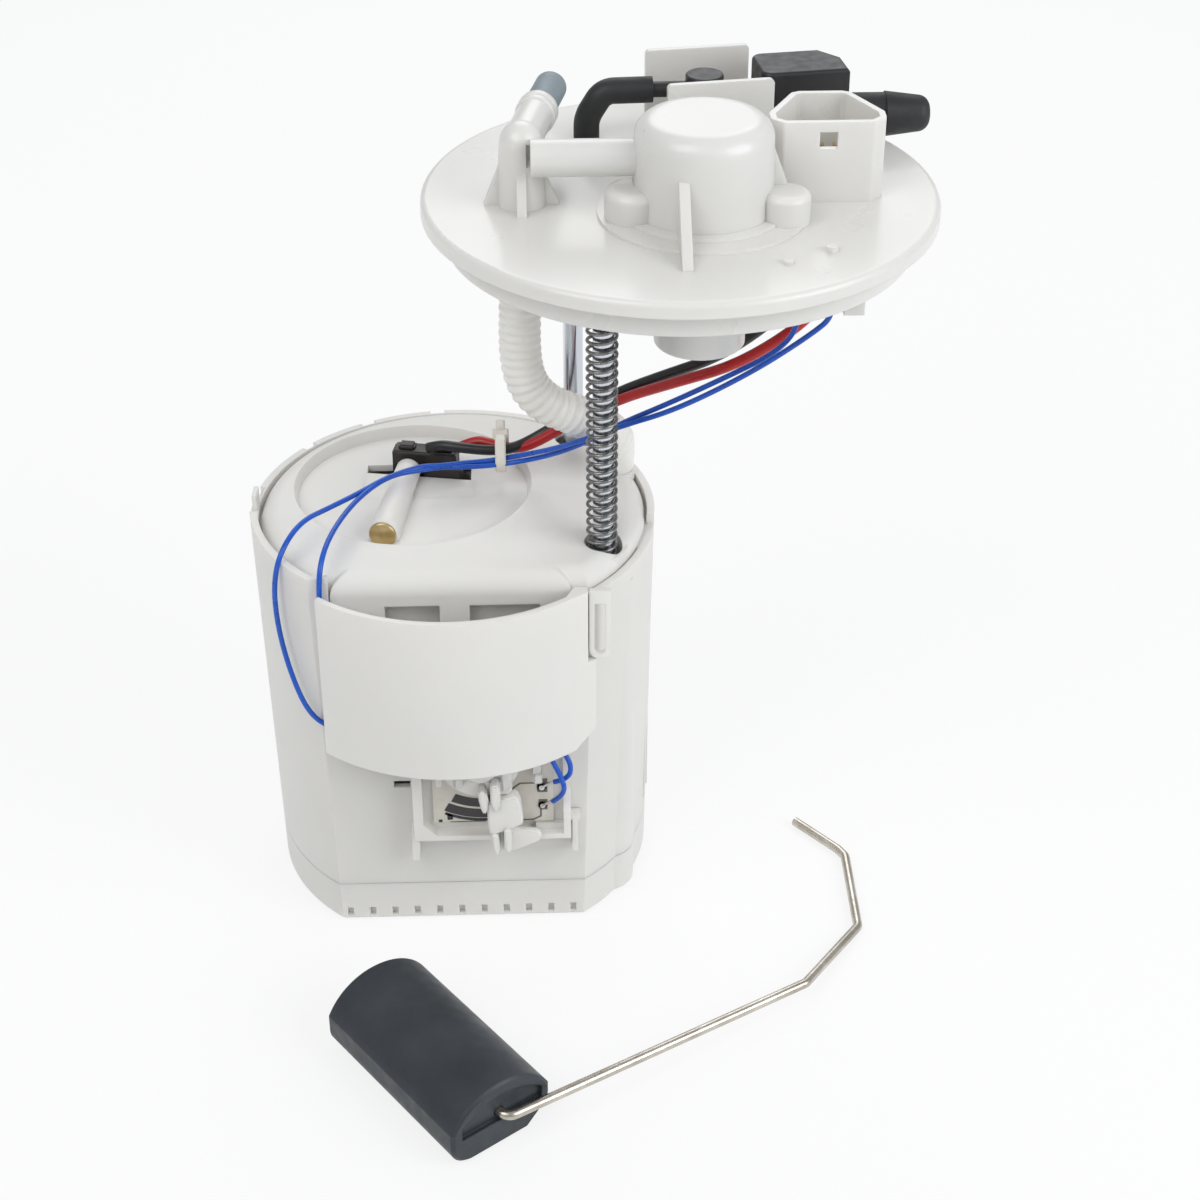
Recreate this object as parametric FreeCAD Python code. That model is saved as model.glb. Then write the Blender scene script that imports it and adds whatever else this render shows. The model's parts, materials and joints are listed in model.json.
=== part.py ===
import FreeCAD, Part
import math
import os

# In-tank fuel pump module: reservoir pot, sprung flange, level sender and separate float arm.
# Millimetres. Z points up, the floor under the pot is z = 0 and the pot's axis is x = y = 0.
# The flat front panel of the pot faces -Y.

V = FreeCAD.Vector
UP = V(0, 0, 1)

# Fits and gaps
FIT = 0.05
GAP = 0.3
SEAT = 0.15

# Reservoir pot
POT_R_RIM = 54.0
POT_R_BASE = 52.2
POT_WALL = 2.0
RIM_Z = 113.0
REAR_RIM_Z = 110.0
PANEL_Y = -40.0
SEAM_Z = 13.0
BASE_FLOOR = 2.4
BASE_LAP = 1.2
WINDOW_HALF = 31.0
WINDOW_Z = 80.0

# Guide rods and spring
ROD_R = 2.75
ROD_A = (39.5, -22.5)
ROD_B = (33.1, 33.1)
GUIDE_A_R = 8.5
GUIDE_B_R = 5.0
GUIDE_A_TOP = 103.0
GUIDE_B_TOP = 104.0
GUIDE_BOTTOM = 76.0
ROD_BOTTOM = 70.0
CLIP_RIM = 0.8
SPRING_R = 3.8
SPRING_WIRE_R = 0.55
SPRING_TURNS = 28
SPRING_HOLE_R = SPRING_R + SPRING_WIRE_R + 0.6
ROD_BORE = ROD_R + FIT

# Lid
LID_R = POT_R_RIM - POT_WALL - 0.6
LID_TOP = 112.0
LID_WALL = 2.0
LID_SKIRT_Z = 86.0
LID_EDGE_R = 5.0
LID_FRONT_Y = PANEL_Y + 0.4
LID_FRONT_HALF = WINDOW_HALF - GAP
RECESS_R = 31.0
RECESS_DEPTH = 3.0
SLOT_Z = 93.0
SLOT_TOP = 104.0
BAFFLE_Y = LID_FRONT_Y + 4.2
PUMP_AXIS = (-11.0, 9.5)
OPENING_X = (-24.0, 4.5)
OPENING_Y = (7.5, 24.5)
DUCT_START = (-14.3, 7.0)
DUCT_END = (-18.2, -17.0)
DUCT_R = 4.0
PLUG_T = 1.4
PORT = (43.8, 16.6)

# Wire guard
GUARD_C = (-0.7, -6.6)
GUARD_R = 50.2
GUARD_WALL = 1.6
GUARD_Z = 61.3
GUARD_TOP = 109.5
GUARD_LEFT_X = -34.2
GUARD_RIGHT_X = 30.5

LATCH_X = (35.2, 40.8)
LATCH_RIM = 1.4
LATCH_Z = 88.2
LATCH_TOP = 109.0

# Filter canister and pump
CANISTER_R = 33.5
CANISTER_WALL = 1.6
CANISTER_Z = 24.0
CANISTER_TOP = 106.0
PUMP_R = 19.0
PUMP_WALL = 1.0
PUMP_Z = 32.0
PUMP_TOP = 88.0
PUMP_CAP_TOP = 103.0
CHECK_SEAT = PUMP_TOP + 6.0
VALVE_OFFSET = (3.0, -11.0)
SHAFT_R = 1.6
ARMATURE_R = 11.5
IMPELLER_T = 3.6
FILTER_RI = 23.0
FILTER_RO = 30.5
FILTER_PLEATS = 36

# Level sender
PIVOT = (6.0, 59.5)
SENDER_BACK = PANEL_Y
SENDER_FRAME_T = 2.0
SENDER_LIP = 6.0
SENDER_X = (-12.2, 30.0)
SENDER_Z = (32.5, 70.0)
CARD_T = 0.8
TRACK_RI = 15.5
TRACK_RM = 18.7
TRACK_RO = 22.4
TRACK_GAP = 0.5
TRACK_T = 0.12
TRACK_FROM = -120.0
TRACK_TO = -55.0
HUB_R = 12.6
HUB_T = 1.8
HUB_BOSS = 2.4
POST_PIN_R = 2.0
HUB_ANGLE = -81.0

# Flange
FLANGE = (59.6, 5.9)
FLANGE_R = 65.0
FLANGE_TOP = 197.4
FLANGE_T = 4.0
SKIRT_R = 59.4
SKIRT_WALL = 2.2
SKIRT_DEPTH = 11.1
BOSS_DEPTH = 9.4
DOME = (64.3, -7.5)
DOME_R = 17.2
DOME_HEIGHT = 24.6
DOME_EDGE_R = 5.0
DOME_WALL = 2.2
DOME_LID = 2.4
NIPPLE_R = 4.6
NIPPLE_BORE_R = 3.2
NIPPLE_DROP = 10.2
NIPPLE_END_X = 22.3
POST = (20.0, -1.0)
POST_R = 5.6
SPIGOT_RISE = 15.9
SPIGOT_TURN = 12.0
SPIGOT_R = 3.15
SPIGOT_BORE_R = 2.2
ELBOW_R = 4.7
COLLAR_R = 5.2
COLLAR_AT = 17.0
COLLAR_LENGTH = 5.2
SPIGOT_END = 37.0
CAP_WALL = 0.95
SOCKET_HEIGHT = 20.8
SOCKET_WALL = 1.6
SOCKET_FLOOR_RISE = 4.0
PLATE_HEIGHT = 17.9
PLATE_T = 1.6
PLATE_LENGTH = 28.0
PLATE_TURN = 8.0
BOWL_R = 11.6
BOWL_WALL = 1.6
BOWL_DEPTH = 35.4
PLUG_DEPTH = 16.4
FLANGE_UNDER = FLANGE_TOP - FLANGE_T
SKIRT_Z = FLANGE_TOP - SKIRT_DEPTH
BOSS_Z = FLANGE_TOP - BOSS_DEPTH
DOME_TOP = FLANGE_TOP + DOME_HEIGHT
NIPPLE_Z = DOME_TOP - NIPPLE_DROP
SPIGOT_Z = FLANGE_TOP + SPIGOT_RISE
SOCKET_TOP = FLANGE_TOP + SOCKET_HEIGHT
SOCKET_FLOOR = FLANGE_TOP + SOCKET_FLOOR_RISE
PLATE_TOP = FLANGE_TOP + PLATE_HEIGHT
BOWL_Z = FLANGE_TOP - BOWL_DEPTH
PLUG_Z = FLANGE_TOP - PLUG_DEPTH

# Hoses and leads
FEED_R = 5.5
FEED_BORE_R = 4.3
BARB_R = 4.15
VAPOUR_R = 3.4
VAPOUR_BORE_R = 2.15
LEAD_R = 1.45
RUN_SHARE = 0.45
THIN_LEAD_R = 0.8

# Vent valve and sensor
VALVE = (68.0, 42.0)
VALVE_R = 4.0
VALVE_CAP_R = 5.0
VALVE_CAP_TOP = FLANGE_TOP + 16.8
VALVE_TUBE_Z = FLANGE_TOP + 12.7
SENSOR = (93.0, 45.5)
SENSOR_SIZE = (23.0, 16.0)
SENSOR_Z = FLANGE_TOP + 1.6
SENSOR_TOP = SENSOR_Z + 17.0
BOOT_R = 5.0
BOOT_Z = SENSOR_Z + 4.1
BOOT_Y = 42.5
BOOT_END_X = 127.5

# Float and arm
WIRE_R = 1.3
WIRE_BEND = 3.0
WIRE_TAIL = 3.4
FLOAT_THICKNESS = 20.0
FLOAT_WIDTH = 30.0
FLOAT_STANDOFF = 1.9
FLOAT_NEAR = (12.0, -126.5)
FLOAT_FAR = (-22.3, -80.5)
FLOAT_AXIS_Z = FLOAT_THICKNESS / 2

# Cable tie
TIE = (12.6, 14.2, 117.2)
TIE_R = 5.8
TIE_WIDTH = 3.0

FEED_ROUTE = [
    (POST[0], POST[1], FLANGE_TOP - FLANGE_T - GAP),
    (POST[0], POST[1], 171.0),
    (20.2, -0.8, 150.0),
    (27.0, -0.8, 138.5),
    (36.0, 3.0, 131.2),
    (42.3, 9.5, 124.5),
    (43.8, 16.6, 119.6),
    (PORT[0], PORT[1], LID_TOP + GAP),
]
BLACK_ROUTE = [
    (92.0, 3.0, PLUG_Z - 0.6),
    (90.8, 1.0, 173.5),
    (84.0, -3.0, 165.4),
    (70.1, -1.0, 154.0),
    (57.0, 6.0, 145.5),
    (44.8, 14.1, 136.3),
    (31.0, 17.5, 127.3),
    (19.5, 15.9, 121.6),
    (8.0, 17.2, 117.4),
    (1.8, 16.9, 114.9),
]
RED_ROUTE = [
    (98.0, 0.6, PLUG_Z - 0.6),
    (97.6, -2.6, 174.2),
    (91.0, -11.0, 168.6),
    (74.4, -11.0, 157.0),
    (60.0, -2.9, 148.2),
    (44.7, 10.6, 136.0),
    (31.0, 14.2, 127.4),
    (19.5, 12.8, 121.8),
    (8.0, 14.0, 117.4),
    (1.8, 13.5, 114.9),
]
BLUE_LEFT_ROUTE = [
    (93.6, -30.5, FLANGE_TOP - 11.8),
    (92.6, -31.5, 178.5),
    (82.7, -27.6, 170.0),
    (64.3, -18.5, 155.3),
    (44.5, -10.0, 140.6),
    (34.5, -6.3, 132.0),
    (26.0, 2.6, 124.8),
    (16.5, 15.0, 116.6),
    (8.2, 12.0, 114.6),
    (-3.4, 6.0, 118.6),
    (-19.0, -3.0, 120.4),
    (-31.0, -11.4, 120.4),
    (-38.7, -20.5, 119.4),
    (-43.2, -32.6, 116.6),
    (-45.6, -33.2, 106.6),
    (-45.2, -33.6, 93.5),
    (-42.6, -36.8, 82.0),
    (-38.6, -41.0, 72.8),
    (-33.6, -41.2, 67.6),
    (-23.0, -42.4, 65.6),
    (-10.0, -43.6, 69.5),
    (4.0, -43.6, 79.0),
    (16.0, -43.3, 77.0),
    (25.4, -43.4, 69.5),
    (28.2, -43.6, 62.0),
    (30.4, -46.0, 55.5),
    (29.2, -46.4, 50.6),
    (25.4, -44.9, 49.2),
]
BLUE_RIGHT_ROUTE = [
    (86.5, -28.5, FLANGE_TOP - 11.8),
    (86.6, -26.4, 176.0),
    (80.5, -21.4, 164.0),
    (64.5, -16.5, 151.9),
    (44.5, -8.9, 137.5),
    (36.5, -4.1, 128.9),
    (28.0, 4.0, 123.0),
    (16.8, 14.2, 114.6),
    (8.8, 11.2, 112.6),
    (-3.0, 4.2, 117.0),
    (-17.0, -5.5, 118.6),
    (-25.6, -16.5, 119.6),
    (-30.4, -30.0, 119.8),
    (-32.4, -38.9, 118.4),
    (-33.2, -41.75, 110.4),
    (-33.0, -41.7, 102.0),
    (-30.6, -42.8, 92.5),
    (-22.0, -44.6, 84.5),
    (-10.0, -43.6, 83.5),
    (4.0, -43.2, 87.5),
    (15.0, -43.2, 84.0),
    (21.8, -45.6, 76.0),
    (24.0, -46.4, 67.5),
    (25.6, -46.1, 61.0),
    (27.4, -48.6, 55.0),
    (28.6, -48.8, 49.6),
    (28.0, -46.8, 44.8),
    (25.2, -44.8, 43.4),
]
# The bent wire beyond the float, to the end that clips into the sender's hub, lying on the floor.
ARM_BENDS = [
    (91.9, -74.5, 4.2),
    (109.3, -49.2, WIRE_R + 0.1),
    (109.5, -18.8, WIRE_R + 0.1),
    (107.8, -15.6, WIRE_R + 0.1),
    (96.7, -2.3, WIRE_R + 0.1),
]


def vec(point):
    return V(*point)


def cylinder(radius, height, x, y, z, axis=UP):
    return Part.makeCylinder(radius, height, V(x, y, z), axis)


def ring(outer, inner, height, x, y, z, axis=UP):
    low = V(x, y, z) - axis * 0.5
    bore = Part.makeCylinder(inner, height + 1.0, low, axis)
    return cylinder(outer, height, x, y, z, axis).cut(bore)


def block(x0, x1, y0, y1, z0, z1):
    return Part.makeBox(x1 - x0, y1 - y0, z1 - z0, V(x0, y0, z0))


def prism(points, z0, height):
    corners = [V(x, y, z0) for x, y in points]
    face = Part.Face(Part.makePolygon(corners + corners[:1]))
    return face.extrude(V(0, 0, height))


def plate_xz(points, y0, depth):
    corners = [V(x, y0, z) for x, z in points]
    face = Part.Face(Part.makePolygon(corners + corners[:1]))
    return face.extrude(V(0, depth, 0))


def fuse(first, *others):
    whole = first.fuse(list(others))
    merged = whole.removeSplitter()
    return merged if merged.isValid() else whole


def turned(shape, degrees, x, y, axis=UP, z=0.0):
    out = shape.copy()
    out.rotate(V(x, y, z), axis, degrees)
    return out


def rounded(shape, radius, wanted):
    edges = [edge for edge in shape.Edges if wanted(edge)]
    return shape.makeFillet(radius, edges)


def at_height(z):
    def test(edge):
        box = edge.BoundBox
        return abs(box.ZMin - z) < 0.01 and abs(box.ZMax - z) < 0.01
    return test


def upright(edge):
    box = edge.BoundBox
    return box.XLength < 0.01 and box.YLength < 0.01 and box.ZLength > 1.0


def bend_path(points, bend=None):
    """Straight runs joined by tangent arcs, of one bend radius or as large as the runs allow."""
    corners = [vec(point) for point in points]
    edges = []
    radii = []
    start = corners[0]
    for before, corner, after in zip(corners, corners[1:], corners[2:]):
        run_in = corner - before
        run_out = after - corner
        half = run_in.getAngle(run_out) / 2
        if half < 0.01:
            continue
        reach = RUN_SHARE * min(run_in.Length, run_out.Length)
        if bend:
            reach = min(reach, bend * math.tan(half))
        into = V(run_in).normalize()
        out = V(run_out).normalize()
        radius = reach / math.tan(half)
        first = corner - into * reach
        last = corner + out * reach
        inward = (out - into).normalize()
        middle = corner + inward * (radius / math.cos(half) - radius)
        edges.append(Part.LineSegment(start, first).toShape())
        edges.append(Part.Arc(first, middle, last).toShape())
        radii.append(radius)
        start = last
    edges.append(Part.LineSegment(start, corners[-1]).toShape())
    return Part.Wire(edges), radii


def swept(points, radius, bend=None):
    path, radii = bend_path(points, bend)
    heading = (vec(points[1]) - vec(points[0])).normalize()
    section = Part.Wire(Part.makeCircle(radius, vec(points[0]), heading))
    tube = path.makePipeShell([section], True, False)
    return tube, path.Length, radii


def lead(name, points, radius):
    tube, length, radii = swept(points, radius)
    ratio = tube.Volume / (math.pi * radius ** 2 * length)
    print(name, "length %.1f" % length, "smallest radius %.1f" % min(radii), "volume ratio %.4f" % ratio)
    return tube


def pot_radius(z):
    return POT_R_BASE + (POT_R_RIM - POT_R_BASE) * z / RIM_Z


def pot_body(inset, z0, z1):
    cone = Part.makeCone(pot_radius(z0) - inset, pot_radius(z1) - inset, z1 - z0, V(0, 0, z0), UP)
    reach = POT_R_RIM + 20.0
    front = block(-reach, reach, -reach, PANEL_Y + inset, z0 - 1, z1 + 1)
    return cone.cut(front)


def guide_column(radius, z0, z1):
    return cylinder(radius, z1 - z0, ROD_A[0], ROD_A[1], z0)


def rim_notches():
    notches = []
    for degrees, width in ((172, 9.0), (140, 4.0), (118, 4.0), (96, 4.0)):
        tooth = block(LID_R + 1.0, POT_R_RIM + 2, -width / 2, width / 2, REAR_RIM_Z - 1.8, RIM_Z + 1)
        notches.append(turned(tooth, degrees, 0, 0))
    return notches


def reservoir():
    shell = pot_body(0, SEAM_Z, RIM_Z).fuse(guide_column(GUIDE_A_R, SEAM_Z, GUIDE_A_TOP))
    shell = shell.cut(pot_body(POT_WALL, SEAM_Z - 1, RIM_Z + 1))
    column_b = cylinder(GUIDE_B_R, GUIDE_B_TOP - GUIDE_BOTTOM, ROD_B[0], ROD_B[1], GUIDE_BOTTOM)
    column_a = guide_column(GUIDE_A_R, GUIDE_BOTTOM, GUIDE_A_TOP)
    shell = shell.fuse([column_a, column_b])
    reach = POT_R_RIM + 5
    rear = block(-reach, reach, -6.0, reach, REAR_RIM_Z, RIM_Z + 1)
    corner = block(WINDOW_HALF, reach, -reach, -5.9, GUIDE_A_TOP + 4.0, RIM_Z + 1)
    window = block(-WINDOW_HALF, WINDOW_HALF, PANEL_Y - 1, PANEL_Y + POT_WALL + 1, WINDOW_Z, RIM_Z + 1)
    slit = block(-17.3, -12.9, PANEL_Y - 1, PANEL_Y + POT_WALL + 1, 46.2, 48.4)
    bore_a = guide_column(ROD_BORE, GUIDE_BOTTOM - 1, GUIDE_A_TOP + 1)
    bore_b = cylinder(ROD_BORE, GUIDE_B_TOP - GUIDE_BOTTOM + 2, ROD_B[0], ROD_B[1], GUIDE_BOTTOM - 1)
    well_a = guide_column(GUIDE_A_R - POT_WALL, SEAM_Z - 1, GUIDE_BOTTOM)
    shell = shell.cut([rear, corner, window, slit, bore_a, bore_b, well_a] + rim_notches())
    tab = block(-2.6, 2.6, LID_R + 0.8, POT_R_RIM - 0.6, REAR_RIM_Z - 6.0, RIM_Z + 1.6)
    eye = cylinder(0.9, 12.0, 0, LID_R - 4, RIM_Z - 1.0, V(0, 1, 0))
    tab = turned(tab.cut(eye), 88, 0, 0)
    ribs = []
    for degrees in (-12, -5, 2):
        foot = pot_radius(SEAM_Z)
        rib = block(foot - 1.0, foot + 0.5, -0.7, 0.7, SEAM_Z + 6, WINDOW_Z)
        ribs.append(turned(rib, degrees, 0, 0))
    return fuse(shell, tab, *ribs)


def reservoir_base():
    cup = pot_body(0, 0, SEAM_Z - SEAT)
    cup = cup.makeChamfer(1.0, [edge for edge in cup.Edges if at_height(0.0)(edge)])
    foot = guide_column(GUIDE_A_R, 0, SEAM_Z - SEAT)
    foot = foot.makeChamfer(1.0, [edge for edge in foot.Edges if at_height(0.0)(edge)])
    outer = cup.fuse(foot)
    inner = pot_body(POT_WALL, BASE_FLOOR, SEAM_Z + 1)
    well = guide_column(GUIDE_A_R - POT_WALL, BASE_FLOOR, SEAM_Z + 1)
    shell = outer.cut([inner, well])
    slots = []
    for index in range(11):
        x = -31.4 + 6.2 * index
        slots.append(block(x - 0.8, x + 0.8, PANEL_Y - 1, PANEL_Y + 1.2, 1.6, 4.4))
    inlet = ring(9.0, 7.5, 3.0, PUMP_AXIS[0], PUMP_AXIS[1] - 24, BASE_FLOOR - 0.1)
    mouth = cylinder(5.0, 3.0, PUMP_AXIS[0], PUMP_AXIS[1] - 24, -0.3)
    bridge = block(-20.0, -2.0, PUMP_AXIS[1] - 25, PUMP_AXIS[1] - 23, 0.6, BASE_FLOOR)
    hub = ring(2.6, 1.1, BASE_FLOOR - 0.6, PUMP_AXIS[0], PUMP_AXIS[1] - 24, 0.6)
    web = bridge.cut(cylinder(1.1, 5, PUMP_AXIS[0], PUMP_AXIS[1] - 24, -1))
    shell = shell.cut(slots + [mouth])
    return fuse(shell, inlet, hub, web)


def lid_outline(inset, z0, z1):
    radius = LID_R - inset
    round_part = cylinder(radius, z1 - z0, 0, 0, z0)
    reach = radius + 5
    plain_front = PANEL_Y + POT_WALL + 0.4 + inset
    round_part = round_part.cut(block(-reach, reach, -reach, plain_front, z0 - 1, z1 + 1))
    half = LID_FRONT_HALF - inset
    nose = block(-half, half, LID_FRONT_Y + inset, plain_front + 2, z0, z1)
    return round_part.fuse(nose).removeSplitter()


def reservoir_lid():
    outer = lid_outline(0, LID_SKIRT_Z, LID_TOP)
    outer = rounded(outer, LID_EDGE_R, at_height(LID_TOP))
    floor_z = LID_TOP - RECESS_DEPTH
    lid = outer.cut(lid_outline(LID_WALL, LID_SKIRT_Z - 1, LID_TOP - LID_WALL))
    px, py = PUMP_AXIS
    lid = lid.fuse(cylinder(RECESS_R + 2, RECESS_DEPTH + 1.0, px, py, floor_z - LID_WALL))
    dish = Part.makeCone(RECESS_R, RECESS_R + 1.2, RECESS_DEPTH + 0.4, V(px, py, floor_z), UP)
    opening = block(OPENING_X[0], OPENING_X[1], OPENING_Y[0], OPENING_Y[1], floor_z - 6, LID_TOP)
    slots = [
        block(-17.0, -3.0, LID_FRONT_Y - 1, LID_FRONT_Y + LID_WALL + 1, SLOT_Z, SLOT_TOP),
        block(4.7, 22.7, LID_FRONT_Y - 1, LID_FRONT_Y + LID_WALL + 1, SLOT_Z, SLOT_TOP),
    ]
    clear_a = guide_column(GUIDE_A_R + GAP, LID_SKIRT_Z - 1, GUIDE_A_TOP + GAP)
    spring_hole = guide_column(SPRING_HOLE_R, GUIDE_A_TOP, LID_TOP + 1)
    clear_b = cylinder(GUIDE_B_R + GAP, 40, ROD_B[0], ROD_B[1], LID_SKIRT_Z - 1)
    edge_b = block(ROD_B[0], ROD_B[0] + 20, ROD_B[1] - GUIDE_B_R, ROD_B[1] + 20, LID_SKIRT_Z - 1, LID_TOP + 1)
    sleeve = guide_column(SPRING_HOLE_R + 1.4, GUIDE_A_TOP + GAP, LID_TOP - LID_WALL + 0.2)
    sleeve = sleeve.common(lid_outline(0.1, GUIDE_A_TOP, LID_TOP))
    half = WINDOW_HALF - 4.0
    baffle = block(-half, half, BAFFLE_Y, BAFFLE_Y + 1.2, SLOT_Z - 3.0, LID_TOP - LID_WALL + 0.2)
    lid = fuse(lid, sleeve, baffle)
    lid = lid.cut([dish, opening, clear_a, spring_hole, clear_b, edge_b] + slots)
    port = cylinder(FEED_R + 0.4, 6.0, PORT[0], PORT[1], LID_TOP - 6.0)
    barb = ring(BARB_R, 2.4, 5.0, PORT[0], PORT[1], LID_TOP - 0.5)
    port = port.cut(cylinder(2.4, 20, PORT[0], PORT[1], LID_TOP - 12))
    limit = cylinder(LID_R, 40, 0, 0, LID_SKIRT_Z)
    return fuse(lid, port.common(limit), barb, duct())


def duct_frame():
    start = V(DUCT_START[0], DUCT_START[1], LID_TOP - RECESS_DEPTH)
    end = V(DUCT_END[0], DUCT_END[1], LID_TOP - RECESS_DEPTH)
    return start, end, V(end - start).normalize()


def half_round(radius0, radius1, start, heading, length):
    if radius0 == radius1:
        whole = Part.makeCylinder(radius0, length, start, heading)
    else:
        whole = Part.makeCone(radius0, radius1, length, start, heading)
    reach = length + 20
    below = block(start.x - reach, start.x + reach, start.y - reach, start.y + reach, start.z - 20, start.z)
    return whole.cut(below)


def duct():
    start, end, heading = duct_frame()
    length = (end - start).Length - PLUG_T
    solid = half_round(DUCT_R - 0.7, DUCT_R, start, heading, length)
    side = V(heading.y, -heading.x, 0)
    wall = Part.makePolygon([
        start + side * (DUCT_R - 0.7) - UP * 0.5,
        start - side * (DUCT_R - 0.7) - UP * 0.5,
        start + heading * length - side * DUCT_R - UP * 0.5,
        start + heading * length + side * DUCT_R - UP * 0.5,
        start + side * (DUCT_R - 0.7) - UP * 0.5,
    ])
    foot = Part.Face(wall).extrude(UP * 0.6)
    return solid.fuse(foot)


def duct_plug():
    start, end, heading = duct_frame()
    base = end - heading * PLUG_T + UP * 0.05
    return half_round(DUCT_R - 0.2, DUCT_R - 0.2, base, heading, PLUG_T)


def guard_end(x, radius):
    return V(x, GUARD_C[1] - math.sqrt(radius ** 2 - (x - GUARD_C[0]) ** 2), GUARD_Z)


def wire_guard():
    outer = GUARD_R
    inner = GUARD_R - GUARD_WALL
    height = GUARD_TOP - GUARD_Z
    low = V(GUARD_C[0], GUARD_C[1] - outer, GUARD_Z)
    low_in = V(GUARD_C[0], GUARD_C[1] - inner, GUARD_Z)
    left, left_in = guard_end(GUARD_LEFT_X, outer), guard_end(GUARD_LEFT_X + 0.9, inner)
    right, right_in = guard_end(GUARD_RIGHT_X, outer), guard_end(GUARD_RIGHT_X - 1.2, inner)
    foot_y = PANEL_Y - SEAT
    edges = [
        Part.Arc(left, low, right).toShape(),
        Part.LineSegment(right, V(37.0, foot_y - 1.2, GUARD_Z)).toShape(),
        Part.LineSegment(V(37.0, foot_y - 1.2, GUARD_Z), V(37.0, foot_y, GUARD_Z)).toShape(),
        Part.LineSegment(V(37.0, foot_y, GUARD_Z), V(31.4, foot_y, GUARD_Z)).toShape(),
        Part.LineSegment(V(31.4, foot_y, GUARD_Z), right_in).toShape(),
        Part.Arc(right_in, low_in, left_in).toShape(),
        Part.LineSegment(left_in, left).toShape(),
    ]
    wall = Part.Face(Part.Wire(edges)).extrude(UP * height)
    slant = plate_xz([(29, GUARD_Z - 1), (40, GUARD_Z - 1), (40, GUARD_Z + 7.5), (31.5, GUARD_Z)], -60, 30)
    bite = plate_xz([(LATCH_X[0] - GAP, LATCH_Z - GAP), (40, LATCH_Z - GAP), (40, GUARD_TOP + 1),
                     (LATCH_X[0] - GAP, GUARD_TOP + 1)], -60, 30)
    wall = wall.cut([slant, bite])
    return wall.removeSplitter()


def lid_latch():
    x0, x1 = LATCH_X
    y1 = PANEL_Y - SEAT
    y0 = y1 - 1.5
    mid = (x0 + x1) / 2
    half = (x1 - x0) / 2
    base = LATCH_Z + half
    strap = block(x0, x1, y0, y1, base, LATCH_TOP)
    strap = strap.fuse(cylinder(half, y1 - y0, mid, y0, base, V(0, 1, 0)))
    gap = half - LATCH_RIM
    hole = block(mid - gap, mid + gap, y0 - 1, y1 + 1, base, LATCH_TOP - 4)
    hole = hole.fuse(cylinder(gap, y1 - y0 + 2, mid, y0 - 1, base, V(0, 1, 0)))
    return strap.cut(hole).removeSplitter()


def filter_canister():
    px, py = PUMP_AXIS
    outer = cylinder(CANISTER_R, CANISTER_TOP - CANISTER_Z, px, py, CANISTER_Z)
    chamber = ring(CANISTER_R - CANISTER_WALL, PUMP_R + 3.4, CANISTER_TOP, px, py, CANISTER_Z + CANISTER_WALL)
    well = cylinder(PUMP_R + 1.8, CANISTER_TOP, px, py, CANISTER_Z - 1)
    body = outer.cut([chamber, well])
    legs = []
    for degrees in (60, 180, 300):
        x = px + (CANISTER_R - 3) * math.cos(math.radians(degrees))
        y = py + (CANISTER_R - 3) * math.sin(math.radians(degrees))
        legs.append(cylinder(2.5, CANISTER_Z - BASE_FLOOR - SEAT, x, y, BASE_FLOOR + SEAT))
    return fuse(body, *legs)


def filter_element():
    px, py = PUMP_AXIS
    z0 = CANISTER_Z + CANISTER_WALL + GAP
    height = CANISTER_TOP - z0 - 12.0
    points = []
    for index in range(FILTER_PLEATS * 2):
        angle = math.pi * index / FILTER_PLEATS
        radius = FILTER_RO if index % 2 else FILTER_RI + 3.0
        points.append((px + radius * math.cos(angle), py + radius * math.sin(angle)))
    pleats = prism(points, z0, height)
    core = cylinder(FILTER_RI, height + 2, px, py, z0 - 1)
    return pleats.cut(core)


def canister_seal():
    px, py = PUMP_AXIS
    return Part.makeTorus(CANISTER_R - CANISTER_WALL / 2, 0.45, V(px, py, CANISTER_TOP + 0.5), UP)


def pump_case():
    px, py = PUMP_AXIS
    case = ring(PUMP_R, PUMP_R - PUMP_WALL, PUMP_TOP - PUMP_Z, px, py, PUMP_Z)
    lips = ring(PUMP_R - 0.5, PUMP_R - 2.4, 0.8, px, py, PUMP_Z)
    return fuse(case, lips)


def pump_inlet_cover():
    px, py = PUMP_AXIS
    radius = PUMP_R - PUMP_WALL - 0.1
    disc = cylinder(radius, 5.0, px, py, PUMP_Z + 0.8 + FIT)
    neck = ring(6.0, 4.2, 8.0, px + 6, py, PUMP_Z - 6.8)
    channel = cylinder(4.2, 20, px + 6, py, PUMP_Z - 8)
    bearing = cylinder(SHAFT_R + FIT, 3.0, px, py, PUMP_Z + 3.0)
    return fuse(disc, neck).cut([channel, bearing])


def impeller():
    px, py = PUMP_AXIS
    z0 = PUMP_Z + 5.8 + 2 * FIT + 0.1
    wheel = ring(15.5, SHAFT_R + 0.02, IMPELLER_T, px, py, z0)
    blades = []
    for index in range(24):
        pocket = block(px + 11.5, px + 14.3, py - 0.8, py + 0.8, z0 - 1, z0 + IMPELLER_T + 1)
        blades.append(turned(pocket, 15 * index, px, py))
    return wheel.cut(blades)


def armature():
    px, py = PUMP_AXIS
    shaft_z = PUMP_Z + 3.4
    shaft = cylinder(SHAFT_R, PUMP_TOP + 2.0 - shaft_z, px, py, shaft_z)
    core = cylinder(ARMATURE_R, 30.0, px, py, PUMP_Z + 17.0)
    slots = []
    for index in range(8):
        slot = block(px + ARMATURE_R - 3, px + ARMATURE_R + 1, py - 0.7, py + 0.7, PUMP_Z + 16, PUMP_Z + 48)
        slots.append(turned(slot, 45 * index, px, py))
    commutator = cylinder(8.0, 2.4, px, py, PUMP_TOP - 6.6)
    return fuse(shaft, core.cut(slots), commutator)


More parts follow.
